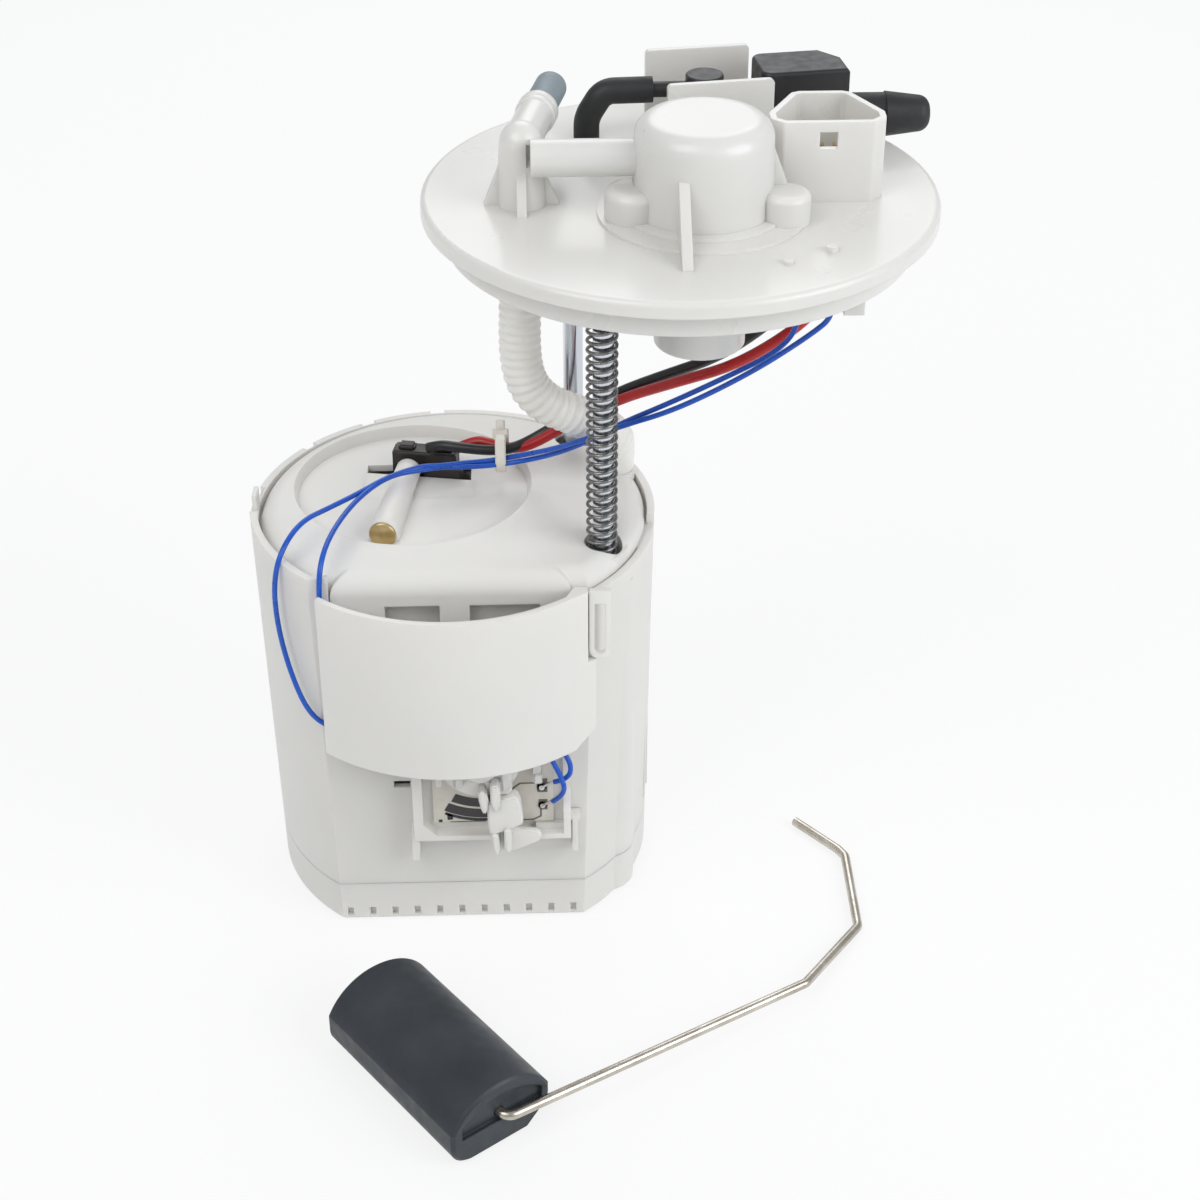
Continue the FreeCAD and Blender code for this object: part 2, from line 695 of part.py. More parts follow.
def motor_magnets():
    px, py = PUMP_AXIS
    outer = PUMP_R - PUMP_WALL - 0.1
    sleeve = ring(outer, ARMATURE_R + 0.8, 34.0, px, py, PUMP_Z + 15.0)
    split = block(px - 4.0, px + 4.0, py - 30, py + 30, PUMP_Z + 14, PUMP_Z + 50)
    return sleeve.cut(split)


def pump_end_cap():
    px, py = PUMP_AXIS
    plug = cylinder(PUMP_R - PUMP_WALL - 0.1, 4.0, px, py, PUMP_TOP - 4.0)
    top = cylinder(PUMP_R, 5.0, px, py, PUMP_TOP + FIT)
    top = rounded(top, 1.2, at_height(PUMP_TOP + FIT + 5.0))
    outlet = cylinder(4.2, PUMP_CAP_TOP - PUMP_TOP, px + VALVE_OFFSET[0], py + VALVE_OFFSET[1], PUMP_TOP)
    house = block(px - 7.0, px + 12.2, py - 4.0, py + 10.0, PUMP_TOP, PUMP_CAP_TOP - 1.0)
    bore = cylinder(SHAFT_R + FIT, 8.0, px, py, PUMP_TOP - 5.0)
    bearing_room = cylinder(SHAFT_R + 1.2, 3.4, px, py, PUMP_TOP - 0.4)
    valve_x, valve_y = px + VALVE_OFFSET[0], py + VALVE_OFFSET[1]
    channel = [
        cylinder(1.9, CHECK_SEAT - PUMP_TOP + 6.0, valve_x, valve_y, PUMP_TOP - 5.0),
        cylinder(2.7, PUMP_CAP_TOP - 1.6 - CHECK_SEAT, valve_x, valve_y, CHECK_SEAT),
        cylinder(1.7, 10.0, valve_x, valve_y, CHECK_SEAT),
    ]
    pockets = []
    for side in (-1, 1):
        x = px + side * 5.6
        pockets.append(block(x - 1.7, x + 1.7, py - 2.2, py + 2.2, PUMP_TOP - 5.0, PUMP_TOP + 2.4))
    return fuse(plug, top, outlet, house).cut([bore, bearing_room] + channel + pockets)


def carbon_brushes():
    px, py = PUMP_AXIS
    brushes = []
    for side in (-1, 1):
        x = px + side * 5.6
        brushes.append(block(x - 1.6, x + 1.6, py - 2.1, py + 2.1, PUMP_TOP - 4.1, PUMP_TOP + 2.0))
    return Part.makeCompound(brushes)


def pump_terminals():
    px, py = PUMP_AXIS
    blades = []
    for x in (px - 2.4, px + 7.0):
        blades.append(block(x, x + 2.8, py + 5.0, py + 5.8, PUMP_CAP_TOP - 1.0 + FIT, PUMP_CAP_TOP + 6.0))
    return Part.makeCompound(blades)


def outlet_check_valve():
    x, y = PUMP_AXIS[0] + VALVE_OFFSET[0], PUMP_AXIS[1] + VALVE_OFFSET[1]
    stem = cylinder(0.8, 6.0, x, y, CHECK_SEAT - 6.5)
    head = Part.makeCone(1.3, 2.5, 2.4, V(x, y, CHECK_SEAT - 1.0), UP)
    return fuse(stem, head)


def outlet_check_spring():
    x, y = PUMP_AXIS[0] + VALVE_OFFSET[0], PUMP_AXIS[1] + VALVE_OFFSET[1]
    return coil_spring(2.0, 0.2, 4, x, y, CHECK_SEAT + 1.4 + SEAT, PUMP_CAP_TOP - 1.6 - SEAT)


def pump_isolator():
    px, py = PUMP_AXIS
    sleeve = ring(PUMP_R + 1.7, PUMP_R + 0.08, 8.0, px, py, PUMP_Z + 2.0)
    collar = ring(PUMP_R + 1.7, PUMP_R + 0.08, 8.0, px, py, PUMP_TOP - 14.0)
    strips = []
    for degrees in (45, 165, 285):
        strip = block(px + PUMP_R + 0.08, px + PUMP_R + 1.4, py - 2, py + 2, PUMP_Z + 3, PUMP_TOP - 8)
        strips.append(turned(strip, degrees, px, py))
    return fuse(sleeve, collar, *strips)


def inlet_strainer():
    px, py = PUMP_AXIS
    bag = block(px - 16, px + 24, py - 9, py + 14, BASE_FLOOR + 5.0, BASE_FLOOR + 13.0)
    bag = rounded(bag, 3.0, lambda edge: True)
    neck = ring(4.0, 2.6, 11.0, px + 6, py, BASE_FLOOR + 12.0)
    feet = []
    for x in (px - 10, px + 16):
        feet.append(cylinder(1.5, 6.0, x, py + 2, BASE_FLOOR + SEAT))
    return fuse(bag, neck, *feet)


def jet_pump_nozzle():
    x, y = 20.0, -24.0
    body = cylinder(4.0, 22.0, x, y, BASE_FLOOR + 4.5, V(0, 1, 0))
    body = body.fuse(Part.makeCone(4.0, 2.0, 6.0, V(x, y + 22.0, BASE_FLOOR + 4.5), V(0, 1, 0)))
    bore = cylinder(1.0, 40.0, x, y - 1, BASE_FLOOR + 4.5, V(0, 1, 0))
    foot = block(x - 3, x + 3, y + 3, y + 19, BASE_FLOOR + SEAT, BASE_FLOOR + 3.0)
    return fuse(body, foot).cut(bore)


def inlet_valve():
    x, y = PUMP_AXIS[0], PUMP_AXIS[1] - 24
    disc = Part.makeCone(6.6, 5.6, 0.9, V(x, y, BASE_FLOOR + GAP), UP)
    stem = cylinder(1.05, BASE_FLOOR + 0.5, x, y, 0.2)
    return fuse(disc, stem.cut(block(x - 5, x + 5, y - 5, y + 5, -1, 0.6)))


def pump_connector():
    px, py = PUMP_AXIS
    x0, x1 = -17.6, 1.2
    body = block(x0, x1, 10.0, 19.6, PUMP_CAP_TOP + GAP, LID_TOP + 4.6)
    body = rounded(body, 0.8, lambda edge: edge.BoundBox.ZMin > LID_TOP)
    step = block(x0 + 10.6, x1, 8.3, 10.2, LID_TOP - 2.0, LID_TOP + 2.2)
    latch = block(x0 + 2.0, x0 + 7.5, 12.0, 17.5, LID_TOP + 4.4, LID_TOP + 6.0)
    rib = block(x0 + 12.0, x1 - 1.0, 10.6, 12.0, LID_TOP + 4.4, LID_TOP + 5.4)
    pockets = []
    for x in (px - 2.4, px + 7.0):
        pockets.append(block(x - 0.2, x + 3.0, py + 4.8, py + 6.0, PUMP_CAP_TOP - 2, PUMP_CAP_TOP + 7.0))
    return fuse(body, step, latch, rib).cut(pockets)


def cable_tie():
    x, y, z = TIE
    along = V(0.9, -0.2, 0.3).normalize()
    low = V(x, y, z) - along * (TIE_WIDTH / 2)
    band = Part.makeCylinder(TIE_R, TIE_WIDTH, low, along)
    band = band.cut(Part.makeCylinder(TIE_R - 0.8, TIE_WIDTH + 2, low - along, along))
    head = block(x - 2.8, x + 1.8, y + 3.9, y + 7.2, z + 3.2, z + 7.0)
    tail = block(x - 1.2, x + 1.2, y - 5.4, y - 4.2, z - 5.4, z - 0.5)
    return fuse(band, head, tail)


def sender_frame():
    x0, x1 = SENDER_X
    z0, z1 = SENDER_Z
    y1 = SENDER_BACK - SEAT
    y0 = y1 - SENDER_FRAME_T
    front = y1 - SENDER_LIP
    back = block(x0, x1, y0, y1, z0, z1)
    bottom = block(x0, x1, front, y1, z0, z0 + 1.6)
    left = plate_xz([(x0, z0), (x0 + 7.5, z0), (x0 + 2.6, z0 + 5.5), (x0 + 2.6, z0 + 28), (x0, z0 + 28)],
                    front, SENDER_LIP)
    right = Part.Face(Part.makePolygon([
        V(x1, y1, z0), V(x1, front, z0), V(x1, front, z0 + 9.0), V(x1, front + 3.0, z0 + 15.0),
        V(x1, front + 3.0, z0 + 28.0), V(x1, y1, z0 + 28.0), V(x1, y1, z0)])).extrude(V(-2.0, 0, 0))
    step = block(x1 - 9.5, x1, y0 - 1.6, y1, z0, z0 + 3.4)
    leg = block(x0 - 0.8, x0 + 1.2, front + 1.0, y1, z0 - 7.5, z0 + 2)
    hook = block(x1 + 0.4, x1 + 2.0, y1 - 3.4, y1, z0 - 6.5, z0 + 5.5)
    link = block(x1 - 1.0, x1 + 2.6, y1 - 3.4, y1, z0 + 4.2, z0 + 5.6)
    finger = block(20.0, 22.2, front + 0.6, card_face() - GAP, 51.6, 60.5)
    tooth = finger.fuse(block(20.0, 22.2, front + 0.6, y0 + 0.1, 58.3, 60.5))
    pad_depth = y0 + 0.5 - hub_plane() - FIT
    pad = cylinder(5.0, pad_depth, PIVOT[0], y0 + 0.5, PIVOT[1], V(0, -1, 0))
    post_depth = pad_depth + FIT + HUB_T + HUB_BOSS + 0.8
    post = cylinder(POST_PIN_R, post_depth, PIVOT[0], y0 + 0.5, PIVOT[1], V(0, -1, 0))
    return fuse(back, bottom, left, right, step, leg, hook, link, post, pad, tooth)


def resistor_card():
    y1 = SENDER_BACK - SEAT - SENDER_FRAME_T - FIT
    card = block(-7.0, 25.5, y1 - CARD_T, y1, 36.2, 58.0)
    return card.cut(cylinder(5.4, 6, PIVOT[0], y1 + 2, PIVOT[1], V(0, -1, 0)))


def card_face():
    return SENDER_BACK - SEAT - SENDER_FRAME_T - FIT - CARD_T


def arc_band(inner, outer, start, end, y, depth):
    def spot(radius, degrees):
        angle = math.radians(degrees)
        return V(PIVOT[0] + radius * math.cos(angle), y, PIVOT[1] + radius * math.sin(angle))
    middle = (start + end) / 2
    edges = [
        Part.Arc(spot(outer, start), spot(outer, middle), spot(outer, end)).toShape(),
        Part.LineSegment(spot(outer, end), spot(inner, end)).toShape(),
        Part.Arc(spot(inner, end), spot(inner, middle), spot(inner, start)).toShape(),
        Part.LineSegment(spot(inner, start), spot(outer, start)).toShape(),
    ]
    return Part.Face(Part.Wire(edges)).extrude(V(0, -depth, 0))


def resistor_tracks():
    y = card_face()
    inner = arc_band(TRACK_RI, TRACK_RM - TRACK_GAP / 2, TRACK_FROM + 4, TRACK_TO, y, TRACK_T)
    outer = arc_band(TRACK_RM + TRACK_GAP / 2, TRACK_RO, TRACK_FROM, TRACK_TO, y, TRACK_T)
    return Part.makeCompound([inner, outer])


def sender_terminals():
    y = card_face()
    pads = []
    for z in (46.6, 40.6):
        pad = block(20.6, 24.8, y - 0.3, y, z - 1.9, z + 1.9)
        bead = cylinder(1.1, 1.1, 22.6, y - 0.1, z, V(0, -1, 0))
        pads.append(fuse(pad, bead))
    return Part.makeCompound(pads)


def hub_plane():
    return SENDER_BACK - SEAT - SENDER_LIP - GAP


def wiper_hub():
    y = hub_plane()
    px, pz = PIVOT
    disc = cylinder(HUB_R, HUB_T, px, y, pz, V(0, -1, 0))
    disc = disc.cut(block(px - 20, px + 20, y - 5, y + 5, pz + 6.0, pz + 20))
    boss = cylinder(4.6, HUB_T + HUB_BOSS, px, y, pz, V(0, -1, 0))
    stem = block(px - 3.0, px + 5.4, y - HUB_T - 0.8, y, pz - 29.0, pz - 8.0)
    shield = block(px - 2.2, px + 6.8, y - HUB_T - 3.4, y - HUB_T, pz - 27.0, pz - 18.6)
    shield = rounded(shield, 0.8, lambda edge: edge.BoundBox.YMax < y - HUB_T - 3)
    grips = []
    for z in (pz - 19.0, pz - 32.4):
        for x in (px - 3.4, px + 1.5):
            claw = block(x, x + 1.9, y - HUB_T - 4.0, y, z - 2.4, z + 3.6)
            grips.append(rounded(claw, 0.7, lambda edge: edge.BoundBox.ZMax < z - 2.3))
    bridge = block(px - 3.4, px + 3.4, y - 1.6, y, pz - 34.0, pz - 28.0)
    ear = plate_xz([(px + 2.5, pz - 33.8), (px + 11.8, pz - 31.2), (px + 12.4, pz - 27.3),
                    (px + 3.5, pz - 25.0)], y - 1.8, 1.8)
    studs = []
    for x, z, width in ((-13.4, -8.4, 2.2), (-8.4, -11.0, 3.0), (6.6, -9.4, 1.8)):
        studs.append(block(px + x, px + x + width, y - HUB_T - 0.9, y - 0.9, pz + z, pz + z + 6.0))
    hub = fuse(disc, boss, stem, shield, bridge, ear, *(grips + studs))
    hub = hub.cut(cylinder(POST_PIN_R + FIT, 12, px, y + 1, pz, V(0, -1, 0)))
    return turned(hub, -(HUB_ANGLE + 90), px, 0, V(0, 1, 0), pz)


def wiper_contact():
    y = hub_plane() + 0.02
    px, pz = PIVOT
    reach = card_face() - TRACK_T - FIT
    plate = block(px - 1.8, px + 1.8, y, y + 0.3, pz - 13.0, pz - 6.0)
    fingers = []
    for x, drop in ((-1.6, 17.0), (0.4, 20.4)):
        side = Part.makePolygon([
            V(px + x, y, pz - 12.5), V(px + x, y + 0.3, pz - 12.5), V(px + x, reach, pz - drop + 0.6),
            V(px + x, reach, pz - drop), V(px + x, reach - 0.4, pz - drop), V(px + x, y, pz - 12.5)])
        fingers.append(Part.Face(side).extrude(V(1.2, 0, 0)))
    contact = fuse(plate, *fingers)
    return turned(contact, -(HUB_ANGLE + 90), px, 0, V(0, 1, 0), pz)


def guide_rod(spot):
    top = FLANGE_TOP - FLANGE_T - 1.0
    rod = cylinder(ROD_R, top - ROD_BOTTOM, spot[0], spot[1], ROD_BOTTOM)
    rod = rod.makeChamfer(0.5, [edge for edge in rod.Edges if at_height(ROD_BOTTOM)(edge)])
    groove = ring(ROD_R + 1, ROD_R - 0.5, 0.9, spot[0], spot[1], ROD_BOTTOM + 3.0)
    return rod.cut(groove)


def rod_clips():
    clips = []
    for x, y in (ROD_A, ROD_B):
        clip = ring(ROD_R + CLIP_RIM, ROD_R - 0.45, 0.8, x, y, ROD_BOTTOM + 3.05)
        clips.append(clip.cut(block(x - 6, x - 0.5, y - 1.2, y + 1.2, ROD_BOTTOM, ROD_BOTTOM + 6)))
    return Part.makeCompound(clips)


def coil_spring(radius, wire_radius, turns, x, y, z0, z1):
    height = z1 - z0 - 2 * wire_radius
    helix = Part.makeHelix(height / turns, height, radius)
    section = Part.Wire(Part.makeCircle(wire_radius, V(radius, 0, 0), V(0, 1, 0.1)))
    coil = Part.Wire(helix).makePipeShell([section], True, True)
    coil.translate(V(x, y, z0 + wire_radius))
    return coil


def rod_spring():
    x, y = ROD_A
    return coil_spring(SPRING_R, SPRING_WIRE_R, SPRING_TURNS, x, y, GUIDE_A_TOP + SEAT, BOSS_Z - SEAT)


def spigot_heading():
    angle = math.radians(SPIGOT_TURN)
    return V(math.sin(angle), math.cos(angle), 0)


def spigot_point(distance):
    return V(POST[0], POST[1], SPIGOT_Z) + spigot_heading() * distance


def flange_disc():
    x, y = FLANGE
    under = FLANGE_TOP - FLANGE_T
    disc = cylinder(FLANGE_R, FLANGE_T, x, y, under)
    disc = rounded(disc, 1.5, at_height(FLANGE_TOP))
    skirt = ring(SKIRT_R, SKIRT_R - SKIRT_WALL, under - SKIRT_Z + 0.5, x, y, SKIRT_Z)
    pads = [
        cylinder(26.0, FLANGE_T, DOME[0], DOME[1], under + 0.7),
        cylinder(20.5, FLANGE_T, DOME[0], DOME[1], under + 1.5),
    ]
    ribs = []
    for degrees in (35, 80, 125, 170, 215, 260):
        rib = block(x + 34, x + SKIRT_R - 1, y - 0.9, y + 0.9, under - 3.0, under + 0.5)
        ribs.append(turned(rib, degrees, x, y))
    return fuse(disc, skirt, *(pads + ribs))


def regulator_dome():
    x, y = DOME
    base = FLANGE_TOP - 1.0
    dome = Part.makeCone(DOME_R + 0.3, DOME_R - 0.3, DOME_TOP - base, V(x, y, base), UP)
    dome = rounded(dome, DOME_EDGE_R, at_height(DOME_TOP))
    left = rounded(cylinder(7.4, 9.4, 47.4, -11.2, base), 2.4, at_height(base + 9.4))
    right = rounded(cylinder(6.0, 9.0, 84.0, -14.0, base), 1.8, at_height(base + 9.0))
    front_rib = Part.Face(Part.makePolygon([
        V(57.2, y - DOME_R + 6, base), V(57.2, y - 34.4, base), V(57.2, y - 34.4, base + 1.2),
        V(57.2, y - DOME_R + 0.8, FLANGE_TOP + 14.4), V(57.2, y - DOME_R + 6, FLANGE_TOP + 14.4),
        V(57.2, y - DOME_R + 6, base)])).extrude(V(2.6, 0, 0))
    side_rib = plate_xz([(x + 10, base), (86.0, base), (84.6, FLANGE_TOP + 8.0),
                         (x + DOME_R - 0.6, FLANGE_TOP + 18.0), (x + 10, FLANGE_TOP + 18.0)], y - 3.0, 2.6)
    nipple = cylinder(NIPPLE_R, x - NIPPLE_END_X, NIPPLE_END_X, y, NIPPLE_Z, V(1, 0, 0))
    return fuse(dome, left, right, front_rib, side_rib, nipple)


def outlet_elbow():
    x, y = POST
    base = FLANGE_TOP - 1.0
    heading = spigot_heading()
    post = Part.makeCone(POST_R + 0.4, POST_R - 0.2, SPIGOT_Z - base, V(x, y, base), UP)
    knee = Part.makeSphere(POST_R - 0.2, V(x, y, SPIGOT_Z))
    arm = Part.makeCylinder(ELBOW_R, COLLAR_AT + 1.0, spigot_point(0), heading)
    collars = []
    for start, length in ((COLLAR_AT, 2.2), (COLLAR_AT + 3.0, COLLAR_LENGTH - 3.0)):
        ring_part = Part.makeCylinder(COLLAR_R, length, spigot_point(start), heading)
        collars.append(ring_part.makeFillet(0.6, ring_part.Edges[0:1] + ring_part.Edges[2:3]))
    neck = Part.makeCylinder(ELBOW_R, COLLAR_LENGTH - 0.4, spigot_point(COLLAR_AT), heading)
    spigot = Part.makeCylinder(SPIGOT_R, SPIGOT_END - COLLAR_AT, spigot_point(COLLAR_AT), heading)
    low = FLANGE_TOP + 0.6
    left = [(x, base), (x - 9.6, base), (x - 9.2, low), (x - 5.0, SPIGOT_Z - 4.3), (x, SPIGOT_Z - 4.3)]
    left = plate_xz(left, y - 1.2, 2.4)
    right = [(x, base), (x + 9.5, base), (x + 9.1, low), (x + 5.0, SPIGOT_Z - 6.3), (x, SPIGOT_Z - 6.3)]
    right = plate_xz(right, y - 1.2, 2.4)
    front = turned(left, 90, x, y)
    return fuse(post, knee, arm, neck, spigot, left, right, front, *collars)


SOCKET_OUTLINE = [(81.0, 0.0), (84.0, -3.0), (106.4, -3.0), (109.4, 0.0), (109.4, 4.0), (102.6, 17.2),
                  (100.6, 18.2), (89.8, 18.2), (87.8, 17.2), (81.0, 4.0)]


def socket_inset(distance):
    corners = [V(px, py, 0) for px, py in SOCKET_OUTLINE]
    wire = Part.makePolygon(corners + corners[:1])
    smaller = wire.makeOffset2D(-distance, 2)
    return Part.Face(smaller)


def connector_socket():
    base = FLANGE_TOP - 1.0
    outer = prism(SOCKET_OUTLINE, base, SOCKET_TOP - base)
    outer = rounded(outer, 1.2, upright)
    room = socket_inset(SOCKET_WALL)
    room.translate(V(0, 0, SOCKET_FLOOR))
    cavity = room.extrude(V(0, 0, SOCKET_TOP))
    window = block(92.9, 97.3, -4.0, 0.0, SOCKET_TOP - 6.8, SOCKET_TOP - 2.6)
    keyway = block(100.4, 102.2, -3.0 + SOCKET_WALL - 0.6, 0.6, SOCKET_FLOOR - 0.5, SOCKET_TOP - 0.8)
    second = block(89.9, 91.4, -3.0 + SOCKET_WALL - 0.6, 0.6, SOCKET_FLOOR - 0.5, SOCKET_TOP - 0.8)
    return fuse(outer.cut([cavity, window]), keyway, second)


def cradle_plates():
    base = FLANGE_TOP - 1.0
    plates = []
    for x, y in ((53.4, 56.2), (57.8, 30.6)):
        plate = block(x, x + PLATE_LENGTH, y, y + PLATE_T, base, PLATE_TOP)
        plate = plate.makeFillet(1.2, [e for e in plate.Edges if e.BoundBox.ZMin > PLATE_TOP - 0.1
                                       and e.BoundBox.XLength < 0.1])
        plates.append(turned(plate, PLATE_TURN, x, y))
    return plates


def under_parts():
    under = FLANGE_TOP - FLANGE_T
    parts = [ring(BARB_R, 2.6, 18.5, POST[0], POST[1], under - 18.0)]
    for x, y in (ROD_A, ROD_B):
        parts.append(cylinder(6.2, under - BOSS_Z + 0.5, x, y, BOSS_Z))
    parts.append(block(84.0, 98.5, -33.5, -26.0, FLANGE_TOP - 11.1, under + 0.5))
    parts.append(block(97.0, 102.0, -32.5, -29.5, FLANGE_TOP - 16.6, FLANGE_TOP - 8.4))
    return parts


def flange():
    body = fuse(flange_disc(), regulator_dome(), outlet_elbow(), connector_socket())
    marks = [
        cylinder(1.5, 2.4, 93.4, -31.6, FLANGE_TOP - 1.0),
        cylinder(1.3, 1.9, 82.4, -38.0, FLANGE_TOP - 1.0),
    ]
    boots = [cylinder(VALVE_R + 1.4, 2.6, VALVE[0], VALVE[1], FLANGE_TOP - 1.0)]
    body = fuse(body, *(cradle_plates() + under_parts() + marks + boots + vapour_nipple() + sensor_pads()))
    under = FLANGE_TOP - FLANGE_T
    x, y = DOME
    dome_room = cylinder(DOME_R - DOME_WALL - 0.4, DOME_TOP - DOME_LID - under + 6, x, y, under - 6)
    nipple_bore = cylinder(NIPPLE_BORE_R, x - NIPPLE_END_X, NIPPLE_END_X - 1, y, NIPPLE_Z, V(1, 0, 0))
    post_bore = cylinder(2.6, SPIGOT_Z - under + 20, POST[0], POST[1], under - 20)
    spigot_bore = Part.makeCylinder(SPIGOT_BORE_R, SPIGOT_END + 1, spigot_point(0), spigot_heading())
    holes = [dome_room, nipple_bore, post_bore, spigot_bore]
    for rod_x, rod_y in (ROD_A, ROD_B):
        holes.append(cylinder(ROD_R + 0.02, under - BOSS_Z, rod_x, rod_y, BOSS_Z - 1.0 + SEAT))
    holes.append(cylinder(VALVE_R + SEAT, 5.0, VALVE[0], VALVE[1], FLANGE_TOP - 0.6))
    return body.cut(holes)


def vapour_nipple():
    x, y = VAPOUR_ROUTE[0][0], VAPOUR_ROUTE[0][1]
    return [ring(VAPOUR_BORE_R - SEAT, 1.1, 5.2, x, y, FLANGE_TOP - 1.0)]


def sensor_pads():
    x, y = SENSOR
    height = SENSOR_Z - FLANGE_TOP + 1.0 - SEAT
    return [cylinder(3.0, height, x + dx, y - 2.0, FLANGE_TOP - 1.0) for dx in (-8.0, 8.0)]


VAPOUR_ROUTE = [
    (37.2, 41.0, FLANGE_TOP + SEAT),
    (37.2, 41.0, FLANGE_TOP + 5.6),
    (41.6, 41.2, VALVE_TUBE_Z),
    (47.8, 41.6, VALVE_TUBE_Z),
    (54.4, 42.0, VALVE_TUBE_Z),
]


def vapour_hose():
    outer, length, radii = swept(VAPOUR_ROUTE, VAPOUR_R)
    inner = swept(VAPOUR_ROUTE, VAPOUR_BORE_R)[0]
    return outer.cut(inner)


def vent_valve():
    x, y = VALVE
    body = cylinder(VALVE_R, VALVE_CAP_TOP - 2.0 - FLANGE_TOP, x, y, FLANGE_TOP)
    start = V(*VAPOUR_ROUTE[-1]) - V(VAPOUR_ROUTE[-1][0] - 50.5, 0.2, 0)
    heading = V(V(x, y, VALVE_TUBE_Z) - start).normalize()
    tube = Part.makeCylinder(VAPOUR_BORE_R - SEAT, (V(x, y, VALVE_TUBE_Z) - start).Length, start, heading)
    collar_at = V(*VAPOUR_ROUTE[-1]) + heading * SEAT
    collar = Part.makeCylinder(2.05, 12.0, collar_at, heading)
    neck_start = V(x, y, VALVE_TUBE_Z - 0.4)
    sensor_edge = SENSOR[0] - SENSOR_SIZE[0] / 2
    neck = Part.makeCylinder(2.2, sensor_edge - x - 0.5, neck_start, V(0.995, 0.05, 0).normalize())
    foot = block(x - 9.0, x + 9.0, y - 7.0, y + 7.0, FLANGE_TOP + 2.2, FLANGE_TOP + 5.6)
    return fuse(body, tube, collar, neck, turned(foot, PLATE_TURN, x, y))


def valve_cap():
    x, y = VALVE
    cap = cylinder(VALVE_CAP_R, 1.9, x, y, VALVE_CAP_TOP - 1.9)
    return rounded(cap, 0.6, at_height(VALVE_CAP_TOP))


def sensor_housing():
    x, y = SENSOR
    length, width = SENSOR_SIZE
    x0, x1 = x - length / 2, x + length / 2
    y0, y1 = y - width / 2, y + width / 2
    outline = [(x0, y0), (x1, y0), (x1, y1 - 6.5), (x1 - 4.6, y1), (x0, y1)]
    body = prism(outline, SENSOR_Z, SENSOR_TOP - SENSOR_Z)
    body = rounded(body, 3.0, lambda edge: upright(edge) and edge.BoundBox.XMax < x0 + 0.1)
    front_top = [e for e in body.Edges if at_height(SENSOR_TOP)(e)]
    body = body.makeFillet(1.0, front_top)
    body = turned(body, PLATE_TURN, x, y)
    port = cylinder(BOOT_R - 1.4, 14.0, x + 4.0, BOOT_Y, BOOT_Z, V(1, 0, 0))
    stem = cylinder(BOOT_R - 2.2, 12.0, x + 12.0, BOOT_Y, BOOT_Z, V(1, 0, 0))
    return fuse(body, port, stem)


def sensor_boot():
    start = 107.0
    nose_x = start + 8.6
    sleeve = cylinder(BOOT_R, 10.0, start, BOOT_Y, BOOT_Z, V(1, 0, 0))
    base = V(nose_x, BOOT_Y, BOOT_Z - 0.6)
    nose = Part.makeCone(BOOT_R + 0.9, BOOT_R - 0.6, BOOT_END_X - nose_x, base, V(1, 0, 0))
    nose = rounded(nose, 3.2, lambda edge: edge.BoundBox.XMin > BOOT_END_X - 0.01)
    room = cylinder(BOOT_R - 1.3, 12.0, start - 1, BOOT_Y, BOOT_Z, V(1, 0, 0))
    return fuse(sleeve, nose).cut(room)


def dust_cap():
    heading = spigot_heading()
    start = COLLAR_AT + COLLAR_LENGTH + SEAT
    length = SPIGOT_END + GAP + CAP_WALL + 0.4 - start
    cap = Part.makeCylinder(SPIGOT_R + CAP_WALL + FIT, length, spigot_point(start), heading)
    far = [e for e in cap.Edges if (e.CenterOfMass - spigot_point(start + length)).Length < 0.1]
    cap = cap.makeFillet(0.7, far)
    room = Part.makeCylinder(SPIGOT_R + FIT, SPIGOT_END + GAP - start + 1, spigot_point(start - 1), heading)
    return cap.cut(room)


def regulator_bowl():
    x, y = DOME
    top = FLANGE_TOP - FLANGE_T - SEAT
    outer = cylinder(BOWL_R - 0.9, top - BOWL_Z - 6, x, y, BOWL_Z + 6)
    lip = rounded(cylinder(BOWL_R, 9.0, x, y, BOWL_Z), 0.9, at_height(BOWL_Z))
    flare = ring(DOME_R - 0.2, BOWL_R - 3, 2.0, x, y, top - 2.0)
    room = cylinder(BOWL_R - 0.9 - BOWL_WALL, top - BOWL_Z, x, y, BOWL_Z + 2.0)
    mouth = cylinder(4.0, 4.0, x, y, BOWL_Z - 1)
    return fuse(outer, lip, flare).cut([room, mouth])


def regulator_seat():
    x, y = DOME
    tube = ring(3.0, 1.2, 20.0, x, y, BOWL_Z + 2.0 + SEAT)
    collar = ring(BOWL_R - 0.9 - BOWL_WALL - FIT, 1.2, 2.0, x, y, BOWL_Z + 2.0 + SEAT)
    return fuse(tube, collar)


def regulator_diaphragm():
    x, y = DOME
    z = BOWL_Z + 22.0 + 2 * SEAT + 0.1
    plate = cylinder(6.0, 1.6, x, y, z)
    web = ring(BOWL_R - 0.9 - BOWL_WALL - 0.3, 5.5, 0.5, x, y, z + 0.6)
    return fuse(plate, web)


def regulator_spring():
    x, y = DOME
    return coil_spring(5.0, 0.6, 9, x, y, BOWL_Z + 24.6 + SEAT, DOME_TOP - DOME_LID - SEAT)


def flange_terminals():
    pins = []
    for index in range(5):
        x = 88.8 + 3.1 * index
        pins.append(block(x - 0.4, x + 0.4, 8.0, 9.6, SOCKET_FLOOR + FIT, SOCKET_FLOOR + 6.6))
    return Part.makeCompound(pins)


